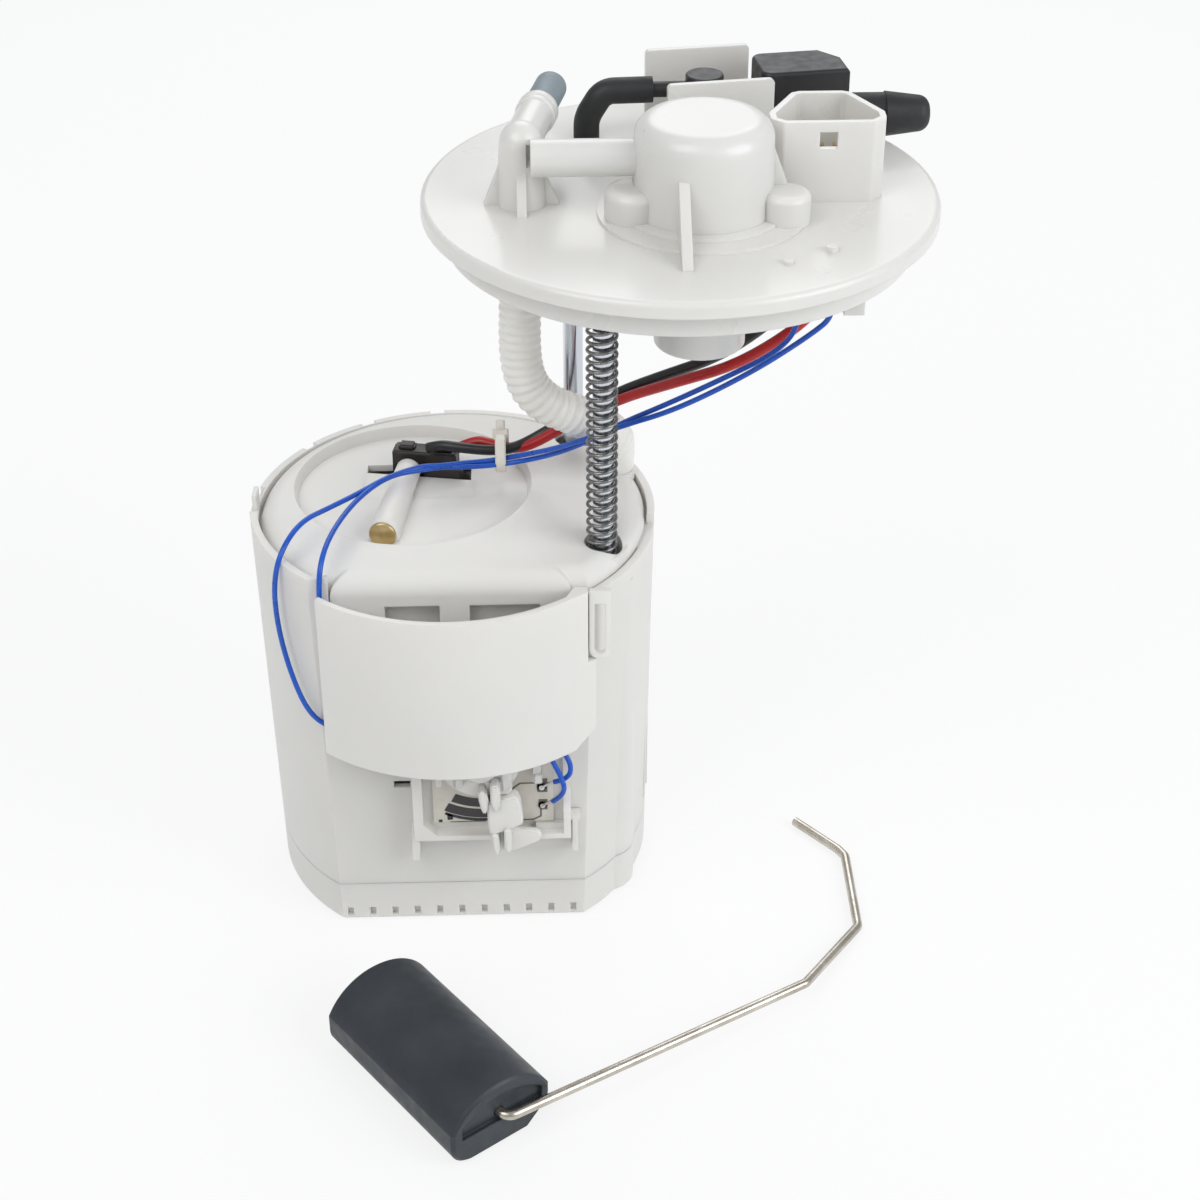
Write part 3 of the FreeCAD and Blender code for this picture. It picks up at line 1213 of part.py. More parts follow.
def lead_plug():
    under = FLANGE_TOP - FLANGE_T - SEAT
    body = block(86.0, 104.0, -4.0, 9.0, PLUG_Z + SEAT, under)
    body = rounded(body, 1.0, upright)
    grooves = [block(85.0, 105.0, 2.0, 3.0, PLUG_Z + 3.0, PLUG_Z + 5.0),
               block(92.0, 97.0, 7.6, 10.0, PLUG_Z + 1.0, PLUG_Z + 9.0)]
    return body.cut(grooves)


def float_frame():
    near = V(FLOAT_NEAR[0], FLOAT_NEAR[1], FLOAT_AXIS_Z)
    far = V(FLOAT_FAR[0], FLOAT_FAR[1], FLOAT_AXIS_Z)
    return near, far, V(far - near).normalize()


def float_section():
    half = FLOAT_WIDTH / 2
    top = FLOAT_THICKNESS / 2
    low = -top
    corners = [V(-half + 6, 0, low), V(half - 7, 0, low), V(half - 0.8, 0, low + 5.5), V(half, 0, low + 7.5),
               V(half, 0, 1.0)]
    edges = [Part.LineSegment(a, b).toShape() for a, b in zip(corners, corners[1:])]
    edges.append(Part.Arc(V(half, 0, 1.0), V(0, 0, top), V(-half, 0, 1.0)).toShape())
    edges.append(Part.LineSegment(V(-half, 0, 1.0), V(-half, 0, low + 6)).toShape())
    swing = 6 * (1 - math.sqrt(0.5))
    middle = V(-half + swing, 0, low + swing)
    edges.append(Part.Arc(V(-half, 0, low + 6), middle, V(-half + 6, 0, low)).toShape())
    return Part.Face(Part.Wire(edges))


def float_body():
    near, far, heading = float_frame()
    length = (far - near).Length - FLOAT_STANDOFF
    body = float_section().extrude(V(0, length, 0))
    ends = [e for e in body.Edges if e.BoundBox.YLength < 0.01]
    body = body.makeChamfer(0.8, ends)
    bowl = cylinder(19.0, 1.4, 0, -0.2, -12.5, V(0, 1, 0)).common(block(-12, 12.5, -1, 2, -2.0, 12))
    tunnel = cylinder(WIRE_R + FIT, length + 2, 0, -1, 0, V(0, 1, 0))
    body = body.cut([bowl, tunnel])
    body.rotate(V(0, 0, 0), UP, math.degrees(math.atan2(-heading.x, heading.y)))
    body.translate(near + heading * FLOAT_STANDOFF)
    return body


def float_arm():
    near, far, heading = float_frame()
    tail = far + heading * WIRE_TAIL
    return swept([tail, near] + ARM_BENDS, WIRE_R, WIRE_BEND)[0]


def float_clip():
    near, far, heading = float_frame()
    start = far + heading * (GAP + 0.1)
    disc = Part.makeCylinder(3.4, 1.0, start, heading)
    return disc.cut(Part.makeCylinder(WIRE_R + 0.02, 4.0, start - heading, heading))


def feed_hose():
    outer, length, radii = swept(FEED_ROUTE, FEED_R)
    inner = swept(FEED_ROUTE, FEED_BORE_R)[0]
    print("corrugated_hose length %.1f" % length, "smallest radius %.1f" % min(radii))
    return outer.cut(inner)


NODES = {
    "reservoir": reservoir,
    "reservoir_base": reservoir_base,
    "reservoir_lid": reservoir_lid,
    "duct_plug": duct_plug,
    "wire_guard": wire_guard,
    "lid_latch": lid_latch,
    "filter_canister": filter_canister,
    "filter_element": filter_element,
    "canister_seal": canister_seal,
    "pump_case": pump_case,
    "pump_inlet_cover": pump_inlet_cover,
    "pump_end_cap": pump_end_cap,
    "pump_impeller": impeller,
    "pump_armature": armature,
    "motor_magnets": motor_magnets,
    "carbon_brushes": carbon_brushes,
    "pump_terminals": pump_terminals,
    "pump_isolator": pump_isolator,
    "outlet_check_valve": outlet_check_valve,
    "outlet_check_spring": outlet_check_spring,
    "inlet_strainer": inlet_strainer,
    "inlet_valve": inlet_valve,
    "jet_pump_nozzle": jet_pump_nozzle,
    "pump_connector": pump_connector,
    "cable_tie": cable_tie,
    "sender_frame": sender_frame,
    "resistor_card": resistor_card,
    "resistor_tracks": resistor_tracks,
    "sender_terminals": sender_terminals,
    "wiper_hub": wiper_hub,
    "wiper_contact": wiper_contact,
    "front_rod": lambda: guide_rod(ROD_A),
    "rear_rod": lambda: guide_rod(ROD_B),
    "rod_clips": rod_clips,
    "rod_spring": rod_spring,
    "flange": flange,
    "flange_terminals": flange_terminals,
    "lead_plug": lead_plug,
    "dust_cap": dust_cap,
    "regulator_bowl": regulator_bowl,
    "regulator_seat": regulator_seat,
    "regulator_diaphragm": regulator_diaphragm,
    "regulator_spring": regulator_spring,
    "vapour_hose": vapour_hose,
    "vent_valve": vent_valve,
    "valve_cap": valve_cap,
    "sensor_housing": sensor_housing,
    "sensor_boot": sensor_boot,
    "corrugated_hose": feed_hose,
    "black_lead": lambda: lead("black_lead", BLACK_ROUTE, LEAD_R),
    "red_lead": lambda: lead("red_lead", RED_ROUTE, LEAD_R),
    "blue_lead_left": lambda: lead("blue_lead_left", BLUE_LEFT_ROUTE, THIN_LEAD_R),
    "blue_lead_right": lambda: lead("blue_lead_right", BLUE_RIGHT_ROUTE, THIN_LEAD_R),
    "float_body": float_body,
    "float_arm": float_arm,
    "float_clip": float_clip,
}


os.makedirs("parts", exist_ok=True)
for name, make in NODES.items():
    shape = make()
    shape.exportStep("parts/%s.step" % name)
    box = shape.BoundBox
    print("%-20s %2d solids %9.1f mm3  x %.1f..%.1f  y %.1f..%.1f  z %.1f..%.1f" % (
        name, len(shape.Solids), shape.Volume, box.XMin, box.XMax, box.YMin, box.YMax, box.ZMin, box.ZMax))
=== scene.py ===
import bmesh
import bpy
import json
import math
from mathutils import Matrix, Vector


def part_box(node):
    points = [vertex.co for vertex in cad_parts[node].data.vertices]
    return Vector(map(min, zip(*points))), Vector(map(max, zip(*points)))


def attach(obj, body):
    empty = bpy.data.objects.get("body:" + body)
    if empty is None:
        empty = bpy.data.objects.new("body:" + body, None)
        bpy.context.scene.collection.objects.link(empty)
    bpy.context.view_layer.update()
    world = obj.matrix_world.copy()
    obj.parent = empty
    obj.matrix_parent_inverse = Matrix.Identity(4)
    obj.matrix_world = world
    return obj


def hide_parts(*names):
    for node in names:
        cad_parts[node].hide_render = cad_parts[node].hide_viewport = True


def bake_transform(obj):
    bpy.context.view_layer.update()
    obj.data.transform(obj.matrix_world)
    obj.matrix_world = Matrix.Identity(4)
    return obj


# In-tank fuel pump module with its float arm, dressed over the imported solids. Metres.

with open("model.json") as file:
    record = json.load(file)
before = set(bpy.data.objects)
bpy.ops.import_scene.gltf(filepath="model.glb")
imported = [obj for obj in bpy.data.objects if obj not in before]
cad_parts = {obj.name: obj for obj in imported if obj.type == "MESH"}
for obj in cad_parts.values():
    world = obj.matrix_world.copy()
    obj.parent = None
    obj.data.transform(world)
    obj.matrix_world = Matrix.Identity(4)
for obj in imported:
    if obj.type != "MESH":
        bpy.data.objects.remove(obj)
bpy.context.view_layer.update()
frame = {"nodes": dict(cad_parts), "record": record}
MM = 0.001

# Metres and degrees
CAMERA_PLACE = (0.0213, -0.531, 0.4267)
CAMERA_TILT = 90 - 33.2
CAMERA_PAN = -1.95
CAMERA_LENS = 69.0
SENSOR_WIDTH = 36.0
# Name, place, size, power and colour of each lamp
LAMPS = (
    ("key", (-0.55, -0.65, 1.05), 0.9, 5.6, (1.0, 0.985, 0.96)),
    ("fill", (0.95, -0.55, 0.7), 0.9, 7.0, (0.98, 0.99, 1.0)),
    ("back", (0.1, 0.9, 0.9), 0.8, 3.0, (1, 1, 1)),
)
LAMP_TARGET = (0.03, 0, 0.1)
SKY_STRENGTH = 0.52
FLOOR_SIZE = 6.0
FLOOR_DROP = 0.0002

# Metres: hose, leads and the spring on the guide rod
HOSE_CUFF = 0.010
HOSE_CUFF_R = 0.0053
HOSE_PITCH = 0.00235
HOSE_VALLEY_R = 0.0049
HOSE_RING = 0.0006
PUMP_LEAD_R = 0.00145
SENDER_LEAD_R = 0.0007
LEAD_SIDES = 12
HOSE_SIDES = 32
HOSE_STEP = 0.00025

SPRING_AXIS = (0.0391, -0.0225)
SPRING_R = 0.0037
SPRING_WIRE = 0.00045
SPRING_TURNS = 34
CLOSED_TURNS = 1.5
CLOSED_GAP = 0.00012
COIL_STEPS = 20

# Millimetres: level sender, seen from the front as x and z
TRACK_CENTRE = (6.5, 60.6)
HUB_CENTRE = (6.0, 59.5)
CARD_FACE = -43.0
CONTACTS = ((22.3, 48.0, 1.25), (22.5, 41.9, 1.2))

# Metres: bead along the rim of the pot
RIM_BEAD_AXIS_R = 0.05175
RIM_BEAD_Z = 0.1064
RIM_BEAD_R = 0.0006

# Millimetres: cable tie, seen from the side as y and z, and the duct's axis
TIE_CENTRE = (14.9, 117.6)
TIE_OUTER_R = 5.2
TIE_INNER_R = 4.3
DUCT_START = (-12.5, 17.6, 111.4)
DUCT_END = (-18.05, -16.0, 111.4)

# Colours are linear; patch and grain are noise scales, milky is the share of scattered light
FINISHES = {
    "white_matte": {
        "first": (0.765, 0.75, 0.715), "second": (0.8, 0.785, 0.75), "patch": 9,
        "rough": (0.42, 0.5), "grain": 1800, "bump": 0.08, "milky": 0.3,
    },
    "white_gloss": {
        "first": (0.71, 0.7, 0.67), "second": (0.735, 0.725, 0.7), "patch": 9,
        "rough": (0.27, 0.32), "grain": 1200, "bump": 0.03, "milky": 0.35, "coat": 0.2,
    },
    "white_milky": {
        "first": (0.72, 0.705, 0.67), "second": (0.76, 0.745, 0.71), "patch": 8,
        "rough": (0.38, 0.46), "grain": 1500, "bump": 0.06, "milky": 0.4,
    },
    "white_warm": {
        "first": (0.8, 0.76, 0.68), "second": (0.84, 0.81, 0.74), "patch": 20, "rough": (0.4, 0.5),
        "grain": 2000, "bump": 0.08, "milky": 0.2,
    },
    "tan_nylon": {
        "first": (0.62, 0.5, 0.34), "second": (0.74, 0.62, 0.45), "patch": 120,
        "rough": (0.4, 0.55), "grain": 2500, "bump": 0.1,
    },
    "black_moulded": {
        "first": (0.012, 0.012, 0.013), "second": (0.02, 0.02, 0.022), "patch": 60,
        "rough": (0.34, 0.5), "grain": 3500, "bump": 0.18,
    },
    "black_rubber": {
        "first": (0.01, 0.01, 0.011), "second": (0.018, 0.018, 0.019), "patch": 50,
        "rough": (0.45, 0.62), "grain": 2600, "bump": 0.2,
    },
    "black_brown": {
        "first": (0.014, 0.011, 0.01), "second": (0.026, 0.02, 0.018), "patch": 70,
        "rough": (0.32, 0.48), "grain": 3000, "bump": 0.15,
    },
    "cap_grey": {
        "first": (0.2, 0.25, 0.275), "second": (0.25, 0.3, 0.325), "patch": 60,
        "rough": (0.45, 0.6), "grain": 3000, "bump": 0.15,
    },
    # zinc: its two colours, in noise stretched along z, paint light and dark streaks of reflection
    # down the rods
    "zinc": {
        "first": (0.62, 0.65, 0.7), "second": (0.8, 0.82, 0.85), "patch": 60, "rough": (0.1, 0.24),
        "grain": 900, "bump": 0.04, "metallic": 1.0, "stretch": (3.0, 3.0, 0.15),
    },
    "spring_steel": {
        "first": (0.17, 0.17, 0.165), "second": (0.32, 0.32, 0.31), "patch": 300,
        "rough": (0.22, 0.36), "grain": 4000, "bump": 0.05, "metallic": 1.0, "edge": 0.0,
    },
    "arm_steel": {
        "first": (0.46, 0.42, 0.36), "second": (0.66, 0.62, 0.55), "patch": 120,
        "rough": (0.22, 0.36), "grain": 2500, "bump": 0.08, "metallic": 1.0, "edge": 0.0,
    },
    "brass": {
        "first": (0.55, 0.4, 0.17), "second": (0.68, 0.53, 0.28), "patch": 250,
        "rough": (0.28, 0.42), "grain": 2500, "bump": 0.1, "metallic": 1.0,
    },
    "brushed_tin": {
        "first": (0.62, 0.62, 0.61), "second": (0.8, 0.8, 0.79), "patch": 500, "rough": (0.22, 0.4),
        "grain": 2500, "bump": 0.12, "metallic": 1.0,
    },
    "ceramic": {
        "first": (0.7, 0.66, 0.58), "second": (0.76, 0.73, 0.66), "patch": 200,
        "rough": (0.5, 0.65), "grain": 4000, "bump": 0.1,
    },
    "trace_brown": {
        "first": (0.15, 0.13, 0.115), "second": (0.2, 0.175, 0.155), "patch": 400,
        "rough": (0.35, 0.5), "grain": 4000, "bump": 0.1, "edge": 0.0,
    },
    "track_ink": {
        "first": (0.035, 0.037, 0.042), "second": (0.065, 0.068, 0.075), "patch": 400,
        "rough": (0.4, 0.55), "grain": 4000, "bump": 0.1, "edge": 0.0,
    },
    "filter_paper": {
        "first": (0.58, 0.47, 0.27), "second": (0.7, 0.6, 0.4), "patch": 120, "rough": (0.75, 0.9),
        "grain": 2500, "bump": 0.4,
    },
    "ferrite": {
        "first": (0.03, 0.03, 0.03), "second": (0.06, 0.06, 0.06), "patch": 200,
        "rough": (0.6, 0.8), "grain": 3000, "bump": 0.2,
    },
    "blue_wire": {
        "first": (0.004, 0.075, 0.46), "second": (0.007, 0.1, 0.56), "patch": 90,
        "rough": (0.26, 0.36), "grain": 3000, "bump": 0.06, "edge": 0.0,
    },
    "red_wire": {
        "first": (0.4, 0.006, 0.006), "second": (0.5, 0.01, 0.009), "patch": 90,
        "rough": (0.28, 0.38), "grain": 3000, "bump": 0.06, "edge": 0.0,
    },
    "black_wire": {
        "first": (0.01, 0.01, 0.011), "second": (0.018, 0.018, 0.02), "patch": 90,
        "rough": (0.28, 0.42), "grain": 3000, "bump": 0.06, "edge": 0.0,
    },
    "float_foam": {
        "first": (0.02, 0.026, 0.033), "second": (0.034, 0.042, 0.052), "patch": 45,
        "rough": (0.38, 0.52), "grain": 3800, "bump": 0.35, "depth": 8e-05, "edge": 0.0006,
    },
    "hose_milky": {
        "first": (0.82, 0.805, 0.76), "second": (0.86, 0.85, 0.81), "patch": 30,
        "rough": (0.26, 0.36), "grain": 2500, "bump": 0.04, "milky": 0.6, "edge": 0.0,
    },
    "white_flat": {
        "first": (0.765, 0.75, 0.715), "second": (0.8, 0.785, 0.75), "patch": 9,
        "rough": (0.42, 0.5), "grain": 1800, "bump": 0.08, "milky": 0.3, "edge": 0.0,
    },
}


def new_material(name):
    material = bpy.data.materials.new(name)
    material.use_nodes = True
    tree = material.node_tree
    shader = tree.nodes["Principled BSDF"]
    return material, tree, shader


def add_node(tree, kind, **inputs):
    node = tree.nodes.new(kind)
    for key, value in inputs.items():
        node.inputs[key].default_value = value
    return node


def noise(tree, scale, detail=3.0, rough=0.5, stretch=None):
    """Noise in the object's own coordinates, from 0 to 1."""
    place = tree.nodes.new("ShaderNodeTexCoord").outputs["Object"]
    if stretch:
        mapping = tree.nodes.new("ShaderNodeMapping")
        mapping.inputs["Scale"].default_value = stretch
        tree.links.new(place, mapping.inputs["Vector"])
        place = mapping.outputs["Vector"]
    node = add_node(tree, "ShaderNodeTexNoise", Scale=scale, Detail=detail, Roughness=rough)
    tree.links.new(place, node.inputs["Vector"])
    return node.outputs["Fac"]


def between(tree, value, low, high, start=0.3, end=0.7):
    """Value from start to end mapped to low to high."""
    node = tree.nodes.new("ShaderNodeMapRange")
    for key, number in (("From Min", start), ("From Max", end), ("To Min", low), ("To Max", high)):
        node.inputs[key].default_value = number
    tree.links.new(value, node.inputs["Value"])
    return node.outputs["Result"]


def two_colours(tree, value, first, second, start=0.35, end=0.65):
    ramp = tree.nodes.new("ShaderNodeValToRGB")
    ramp.color_ramp.elements[0].position = start
    ramp.color_ramp.elements[1].position = end
    ramp.color_ramp.elements[0].color = (*first, 1)
    ramp.color_ramp.elements[1].color = (*second, 1)
    tree.links.new(value, ramp.inputs["Fac"])
    return ramp.outputs["Color"]


def finish_of(name, first, second, patch=40.0, rough=(0.35, 0.5), grain=2500.0, bump=0.08,
              depth=0.00005, metallic=0.0, milky=0.0, coat=0.0, edge=0.0003, stretch=None):
    """Principled shader with patchy colour, uneven gloss, fine grain and softened edges; a stretch
    turns the colour patches into streaks, which on zinc are painted reflection.
    """
    material, tree, shader = new_material(name)
    link = tree.links.new
    patches = noise(tree, patch, 4.0, 0.6, stretch)
    link(two_colours(tree, patches, first, second), shader.inputs["Base Color"])
    link(between(tree, noise(tree, patch * 6, 3.0, 0.5, stretch), *rough), shader.inputs["Roughness"])
    relief = add_node(tree, "ShaderNodeBump", Strength=bump, Distance=depth)
    link(noise(tree, grain, 2.0, 0.5, stretch), relief.inputs["Height"])
    if edge:
        soft = add_node(tree, "ShaderNodeBevel", Radius=edge)
        soft.samples = 4
        link(soft.outputs["Normal"], relief.inputs["Normal"])
    link(relief.outputs["Normal"], shader.inputs["Normal"])
    shader.inputs["Metallic"].default_value = metallic
    shader.inputs["Specular IOR Level"].default_value = 0.5
    if milky:
        shader.inputs["Subsurface Weight"].default_value = milky
        shader.inputs["Subsurface Radius"].default_value = (1.0, 0.92, 0.82)
        shader.inputs["Subsurface Scale"].default_value = 0.004
    if coat:
        shader.inputs["Coat Weight"].default_value = coat
        shader.inputs["Coat Roughness"].default_value = 0.12
    return material


def lined_tracks():
    """Dark resistor ink with fine radial lines about the pivot."""
    material, tree, shader = new_material("track_lines")
    link = tree.links.new
    place = tree.nodes.new("ShaderNodeTexCoord").outputs["Object"]
    moved = tree.nodes.new("ShaderNodeMapping")
    moved.inputs["Location"].default_value = (-TRACK_CENTRE[0] * MM, 0, -TRACK_CENTRE[1] * MM)
    turn = tree.nodes.new("ShaderNodeMapping")
    turn.inputs["Rotation"].default_value = (math.radians(90), 0, 0)
    link(place, moved.inputs["Vector"])
    link(moved.outputs["Vector"], turn.inputs["Vector"])
    radial = tree.nodes.new("ShaderNodeTexGradient")
    radial.gradient_type = "RADIAL"
    link(turn.outputs["Vector"], radial.inputs["Vector"])
    times = tree.nodes.new("ShaderNodeMath")
    times.operation = "MULTIPLY"
    times.inputs[1].default_value = 360.0
    link(radial.outputs["Fac"], times.inputs[0])
    part = tree.nodes.new("ShaderNodeMath")
    part.operation = "FRACT"
    link(times.outputs[0], part.inputs[0])
    dark, pale = (0.045, 0.043, 0.046), (0.085, 0.082, 0.085)
    link(two_colours(tree, part.outputs[0], dark, pale, 0.4, 0.75), shader.inputs["Base Color"])
    link(between(tree, noise(tree, 900, 2.0), 0.35, 0.5), shader.inputs["Roughness"])
    return material


FINISH = {name: finish_of(name, **values) for name, values in FINISHES.items()}
FINISH["track_lines"] = lined_tracks()
SLOT_FINISH = {
    "white_plastic": "white_matte", "brass": "brass", "filter_paper": "filter_paper",
    "black_rubber": "black_rubber", "zinc_steel": "zinc", "black_plastic": "black_moulded",
    "spring_steel": "spring_steel", "magnet": "ferrite", "carbon": "ferrite",
    "tan_plastic": "tan_nylon", "ceramic": "ceramic", "track_ink": "track_ink",
    "solder_tin": "brushed_tin", "cap_blue_grey": "cap_grey", "milky_hose": "hose_milky",
    "black_wire": "black_wire", "red_wire": "red_wire", "blue_wire": "blue_wire",
    "float_foam": "float_foam",
}
NODE_FINISH = {
    "flange": "white_gloss", "regulator_bowl": "white_gloss", "reservoir": "white_milky",
    "reservoir_base": "white_milky", "wire_guard": "white_matte", "filter_canister": "white_warm",
    "float_arm": "arm_steel", "pump_connector": "black_brown", "valve_cap": "black_moulded",
    "cable_tie": "white_warm",
}


def dress_nodes():
    """Give each solid its material, by its own name or by its material slot."""
    slots = {row["node"]: row["material_slot"] for row in frame["record"]["subparts"]}
    for name, node in frame["nodes"].items():
        node.data.materials.clear()
        finish = NODE_FINISH.get(name) or SLOT_FINISH[slots[name]]
        node.data.materials.append(FINISH[finish])
        for face in node.data.polygons:
            face.material_index = 0


def metres(points):
    return [Vector(point) * MM for point in points]


def smooth_line(points):
    """Points of the NURBS spline that has the route's points as its control points."""
    data = bpy.data.curves.new("line", "CURVE")
    data.dimensions = "3D"
    data.resolution_u = 10
    spline = data.splines.new("NURBS")
    spline.points.add(len(points) - 1)
    for target, point in zip(spline.points, points):
        target.co = (*point, 1.0)
    spline.order_u = 3
    spline.use_endpoint_u = True
    holder = bpy.data.objects.new("line", data)
    mesh = bpy.data.meshes.new_from_object(holder)
    line = [vertex.co.copy() for vertex in mesh.vertices]
    bpy.data.objects.remove(holder)
    bpy.data.curves.remove(data)
    bpy.data.meshes.remove(mesh)
    return line


def line_length(line):
    return sum((b - a).length for a, b in zip(line, line[1:]))


def spaced(line, step):
    """The same line with its points at equal distances of about one step."""
    total = line_length(line)
    count = max(2, round(total / step))
    points = [line[0].copy()]
    target = total / count
    walked = 0.0
    wanted = target
    for a, b in zip(line, line[1:]):
        run = (b - a).length
        while run > 0 and wanted <= walked + run + 1e-12 and len(points) < count:
            points.append(a.lerp(b, (wanted - walked) / run))
            wanted += target
        walked += run
    points.append(line[-1].copy())
    return points


def frames_along(line):
    """Two directions across the line at each point, carried along without twist."""
    sides = []
    across = None
    for i, point in enumerate(line):
        before = line[max(i - 1, 0)]
        after = line[min(i + 1, len(line) - 1)]
        heading = (after - before).normalized()
        if across is None:
            across = heading.orthogonal().normalized()
        across = (across - heading * across.dot(heading)).normalized()
        sides.append((across, heading.cross(across)))
    return sides


def mesh_object(name, points, faces, material, smooth=True):
    mesh = bpy.data.meshes.new(name)
    mesh.from_pydata([tuple(point) for point in points], [], faces)
    mesh.update()
    if smooth:
        mesh.polygons.foreach_set("use_smooth", [True] * len(mesh.polygons))
    mesh.materials.append(material)
    piece = bpy.data.objects.new(name, mesh)
    bpy.context.scene.collection.objects.link(piece)
    return piece


def tube(name, line, radius, finish, sides):
    """Closed tube along a line; radius is a number or a function of the distance along it."""
    points, faces = [], []
    walked = 0.0
    for i, (centre, (u, v)) in enumerate(zip(line, frames_along(line))):
        if i:
            walked += (centre - line[i - 1]).length
        here = radius(walked) if callable(radius) else radius
        for k in range(sides):
            angle = 2 * math.pi * k / sides
            points.append(centre + (u * math.cos(angle) + v * math.sin(angle)) * here)
        if i:
            for k in range(sides):
                a, b = (i - 1) * sides, i * sides
                n = (k + 1) % sides
                faces.append((a + k, a + n, b + n, b + k))
    faces.append(tuple(range(sides))[::-1])
    last = (len(line) - 1) * sides
    faces.append(tuple(range(last, last + sides)))
    return mesh_object(name, points, faces, FINISH[finish])


def add_camera():
    data = bpy.data.cameras.new("camera")
    data.lens = CAMERA_LENS
    data.sensor_width = SENSOR_WIDTH
    data.clip_start = 0.01
    camera = bpy.data.objects.new("camera", data)
    camera.location = CAMERA_PLACE
    camera.rotation_euler = (math.radians(CAMERA_TILT), 0, math.radians(CAMERA_PAN))
    bpy.context.scene.collection.objects.link(camera)
    bpy.context.scene.camera = camera


FEED_ROUTE = metres([
    (20.0, -1.0, 193.1), (19.0, -1.0, 172.0), (18.6, -1.0, 150.5), (24.0, -1.0, 141.5),
    (33.1, 2.0, 136.0), (41.0, 7.0, 129.5), (44.6, 13.5, 121.5), (43.8, 16.6, 112.3),
])
BLACK_ROUTE = metres([
    (92.0, 3.0, 180.4), (90.8, 1.0, 173.5), (84.0, -3.0, 165.4), (70.1, -1.0, 154.0),
    (57.0, 6.0, 145.5), (44.8, 14.1, 136.3), (31.0, 17.5, 126.6), (22.5, 17.2, 121.0),
    (16.5, 15.2, 118.9), (10.2, 14.7, 118.5), (0.5, 15.9, 119.2), (-3.5, 17.2, 119.2),
    (-7.0, 18.5, 117.6),
])
RED_ROUTE = metres([
    (98.0, 0.6, 180.4), (97.6, -2.6, 174.2), (91.0, -11.0, 168.6), (74.4, -11.0, 157.0),
    (60.0, -2.9, 148.2), (44.7, 10.6, 136.0), (31.0, 14.6, 126.2), (21.0, 14.8, 119.8),
    (15.5, 16.8, 117.9), (10.2, 17.9, 118.9), (5.9, 19.4, 119.4), (0.8, 19.6, 116.6),
])
BLUE_LEFT_ROUTE = metres([
    (93.6, -30.5, 185.6), (95.3, -31.0, 180.5), (89.6, -29.0, 173.9), (76.0, -24.0, 161.2),
    (58.0, -15.0, 146.2), (44.5, -9.6, 138.9), (34.5, -4.6, 132.0), (26.0, 4.5, 124.2),
    (16.5, 12.2, 118.0), (10.2, 11.6, 117.2), (2.9, 10.2, 117.4), (-3.4, 8.2, 117.8),
    (-8.6, 8.6, 117.6), (-17.3, 2.0, 118.2), (-24.0, -6.5, 118.6), (-31.4, -14.5, 118.9),
    (-38.7, -21.5, 119.0), (-43.2, -32.6, 116.6), (-45.6, -33.2, 106.6), (-45.2, -33.6, 93.5),
    (-42.6, -36.8, 82.0), (-38.6, -41.0, 72.8), (-33.6, -41.2, 67.6), (-23.0, -42.4, 65.6),
    (-10.0, -43.6, 69.5), (4.0, -43.6, 79.0), (16.0, -43.3, 77.0), (25.4, -43.4, 69.5),
    (27.4, -44.6, 62.0), (30.4, -46.4, 57.4), (29.4, -46.6, 52.9), (25.6, -45.4, 51.2),
])
BLUE_RIGHT_ROUTE = metres([
    (86.5, -28.5, 185.6), (87.6, -27.2, 177.5), (83.5, -23.6, 167.2), (68.5, -18.0, 156.0),
    (56.0, -12.5, 146.6), (44.5, -7.6, 138.6), (36.5, -3.0, 131.0), (28.0, 4.6, 123.0),
    (18.8, 10.8, 117.3), (10.2, 10.6, 116.2), (2.9, 8.7, 117.0), (-3.0, 9.6, 116.6),
    (-8.4, 7.2, 117.2), (-15.5, 3.6, 118.0), (-21.0, -2.6, 118.2), (-26.5, -14.0, 118.6),
    (-30.6, -28.5, 119.0), (-32.4, -38.9, 117.6), (-33.2, -41.75, 110.4), (-33.0, -41.7, 102.0),
    (-30.6, -42.8, 92.5), (-22.0, -44.6, 84.5), (-10.0, -43.6, 83.5), (4.0, -43.2, 87.5),
    (15.0, -43.2, 84.0), (21.8, -45.6, 76.0), (23.4, -46.4, 67.5), (24.6, -46.8, 60.5),
    (27.4, -48.2, 55.5), (28.8, -48.4, 49.2), (25.2, -45.5, 44.8),
])


def corrugated(length):
    """Radius along the hose: smooth cuffs at both ends and rounded rings between."""
    def radius(s):
        if min(s, length - s) < HOSE_CUFF:
            return HOSE_CUFF_R
        wave = 0.5 + 0.5 * math.cos(2 * math.pi * (s - HOSE_CUFF) / HOSE_PITCH)
        return HOSE_VALLEY_R + HOSE_RING * wave ** 0.7
    return radius


def add_cords():
    hose_line = spaced(smooth_line(FEED_ROUTE), HOSE_STEP)
    length = line_length(hose_line)
    hose = tube("corrugated_feed_hose", hose_line, corrugated(length), "hose_milky", HOSE_SIDES)
    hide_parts("corrugated_hose")
    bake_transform(hose)
    [tuple(p) for p in hose_line]
    for name, route, radius, finish in (
        ("black_lead", BLACK_ROUTE, PUMP_LEAD_R, "black_wire"),
        ("red_lead", RED_ROUTE, PUMP_LEAD_R, "red_wire"),
        ("blue_lead_left", BLUE_LEFT_ROUTE, SENDER_LEAD_R, "blue_wire"),
        ("blue_lead_right", BLUE_RIGHT_ROUTE, SENDER_LEAD_R, "blue_wire"),
    ):
        line = smooth_line(route)
        lead = tube(name + "_sleeve", line, radius, finish, LEAD_SIDES)
        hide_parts(name)
        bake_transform(lead)
        tuple(route[-1])
        round(line_length(line), 4)
        [tuple(p) for p in line]


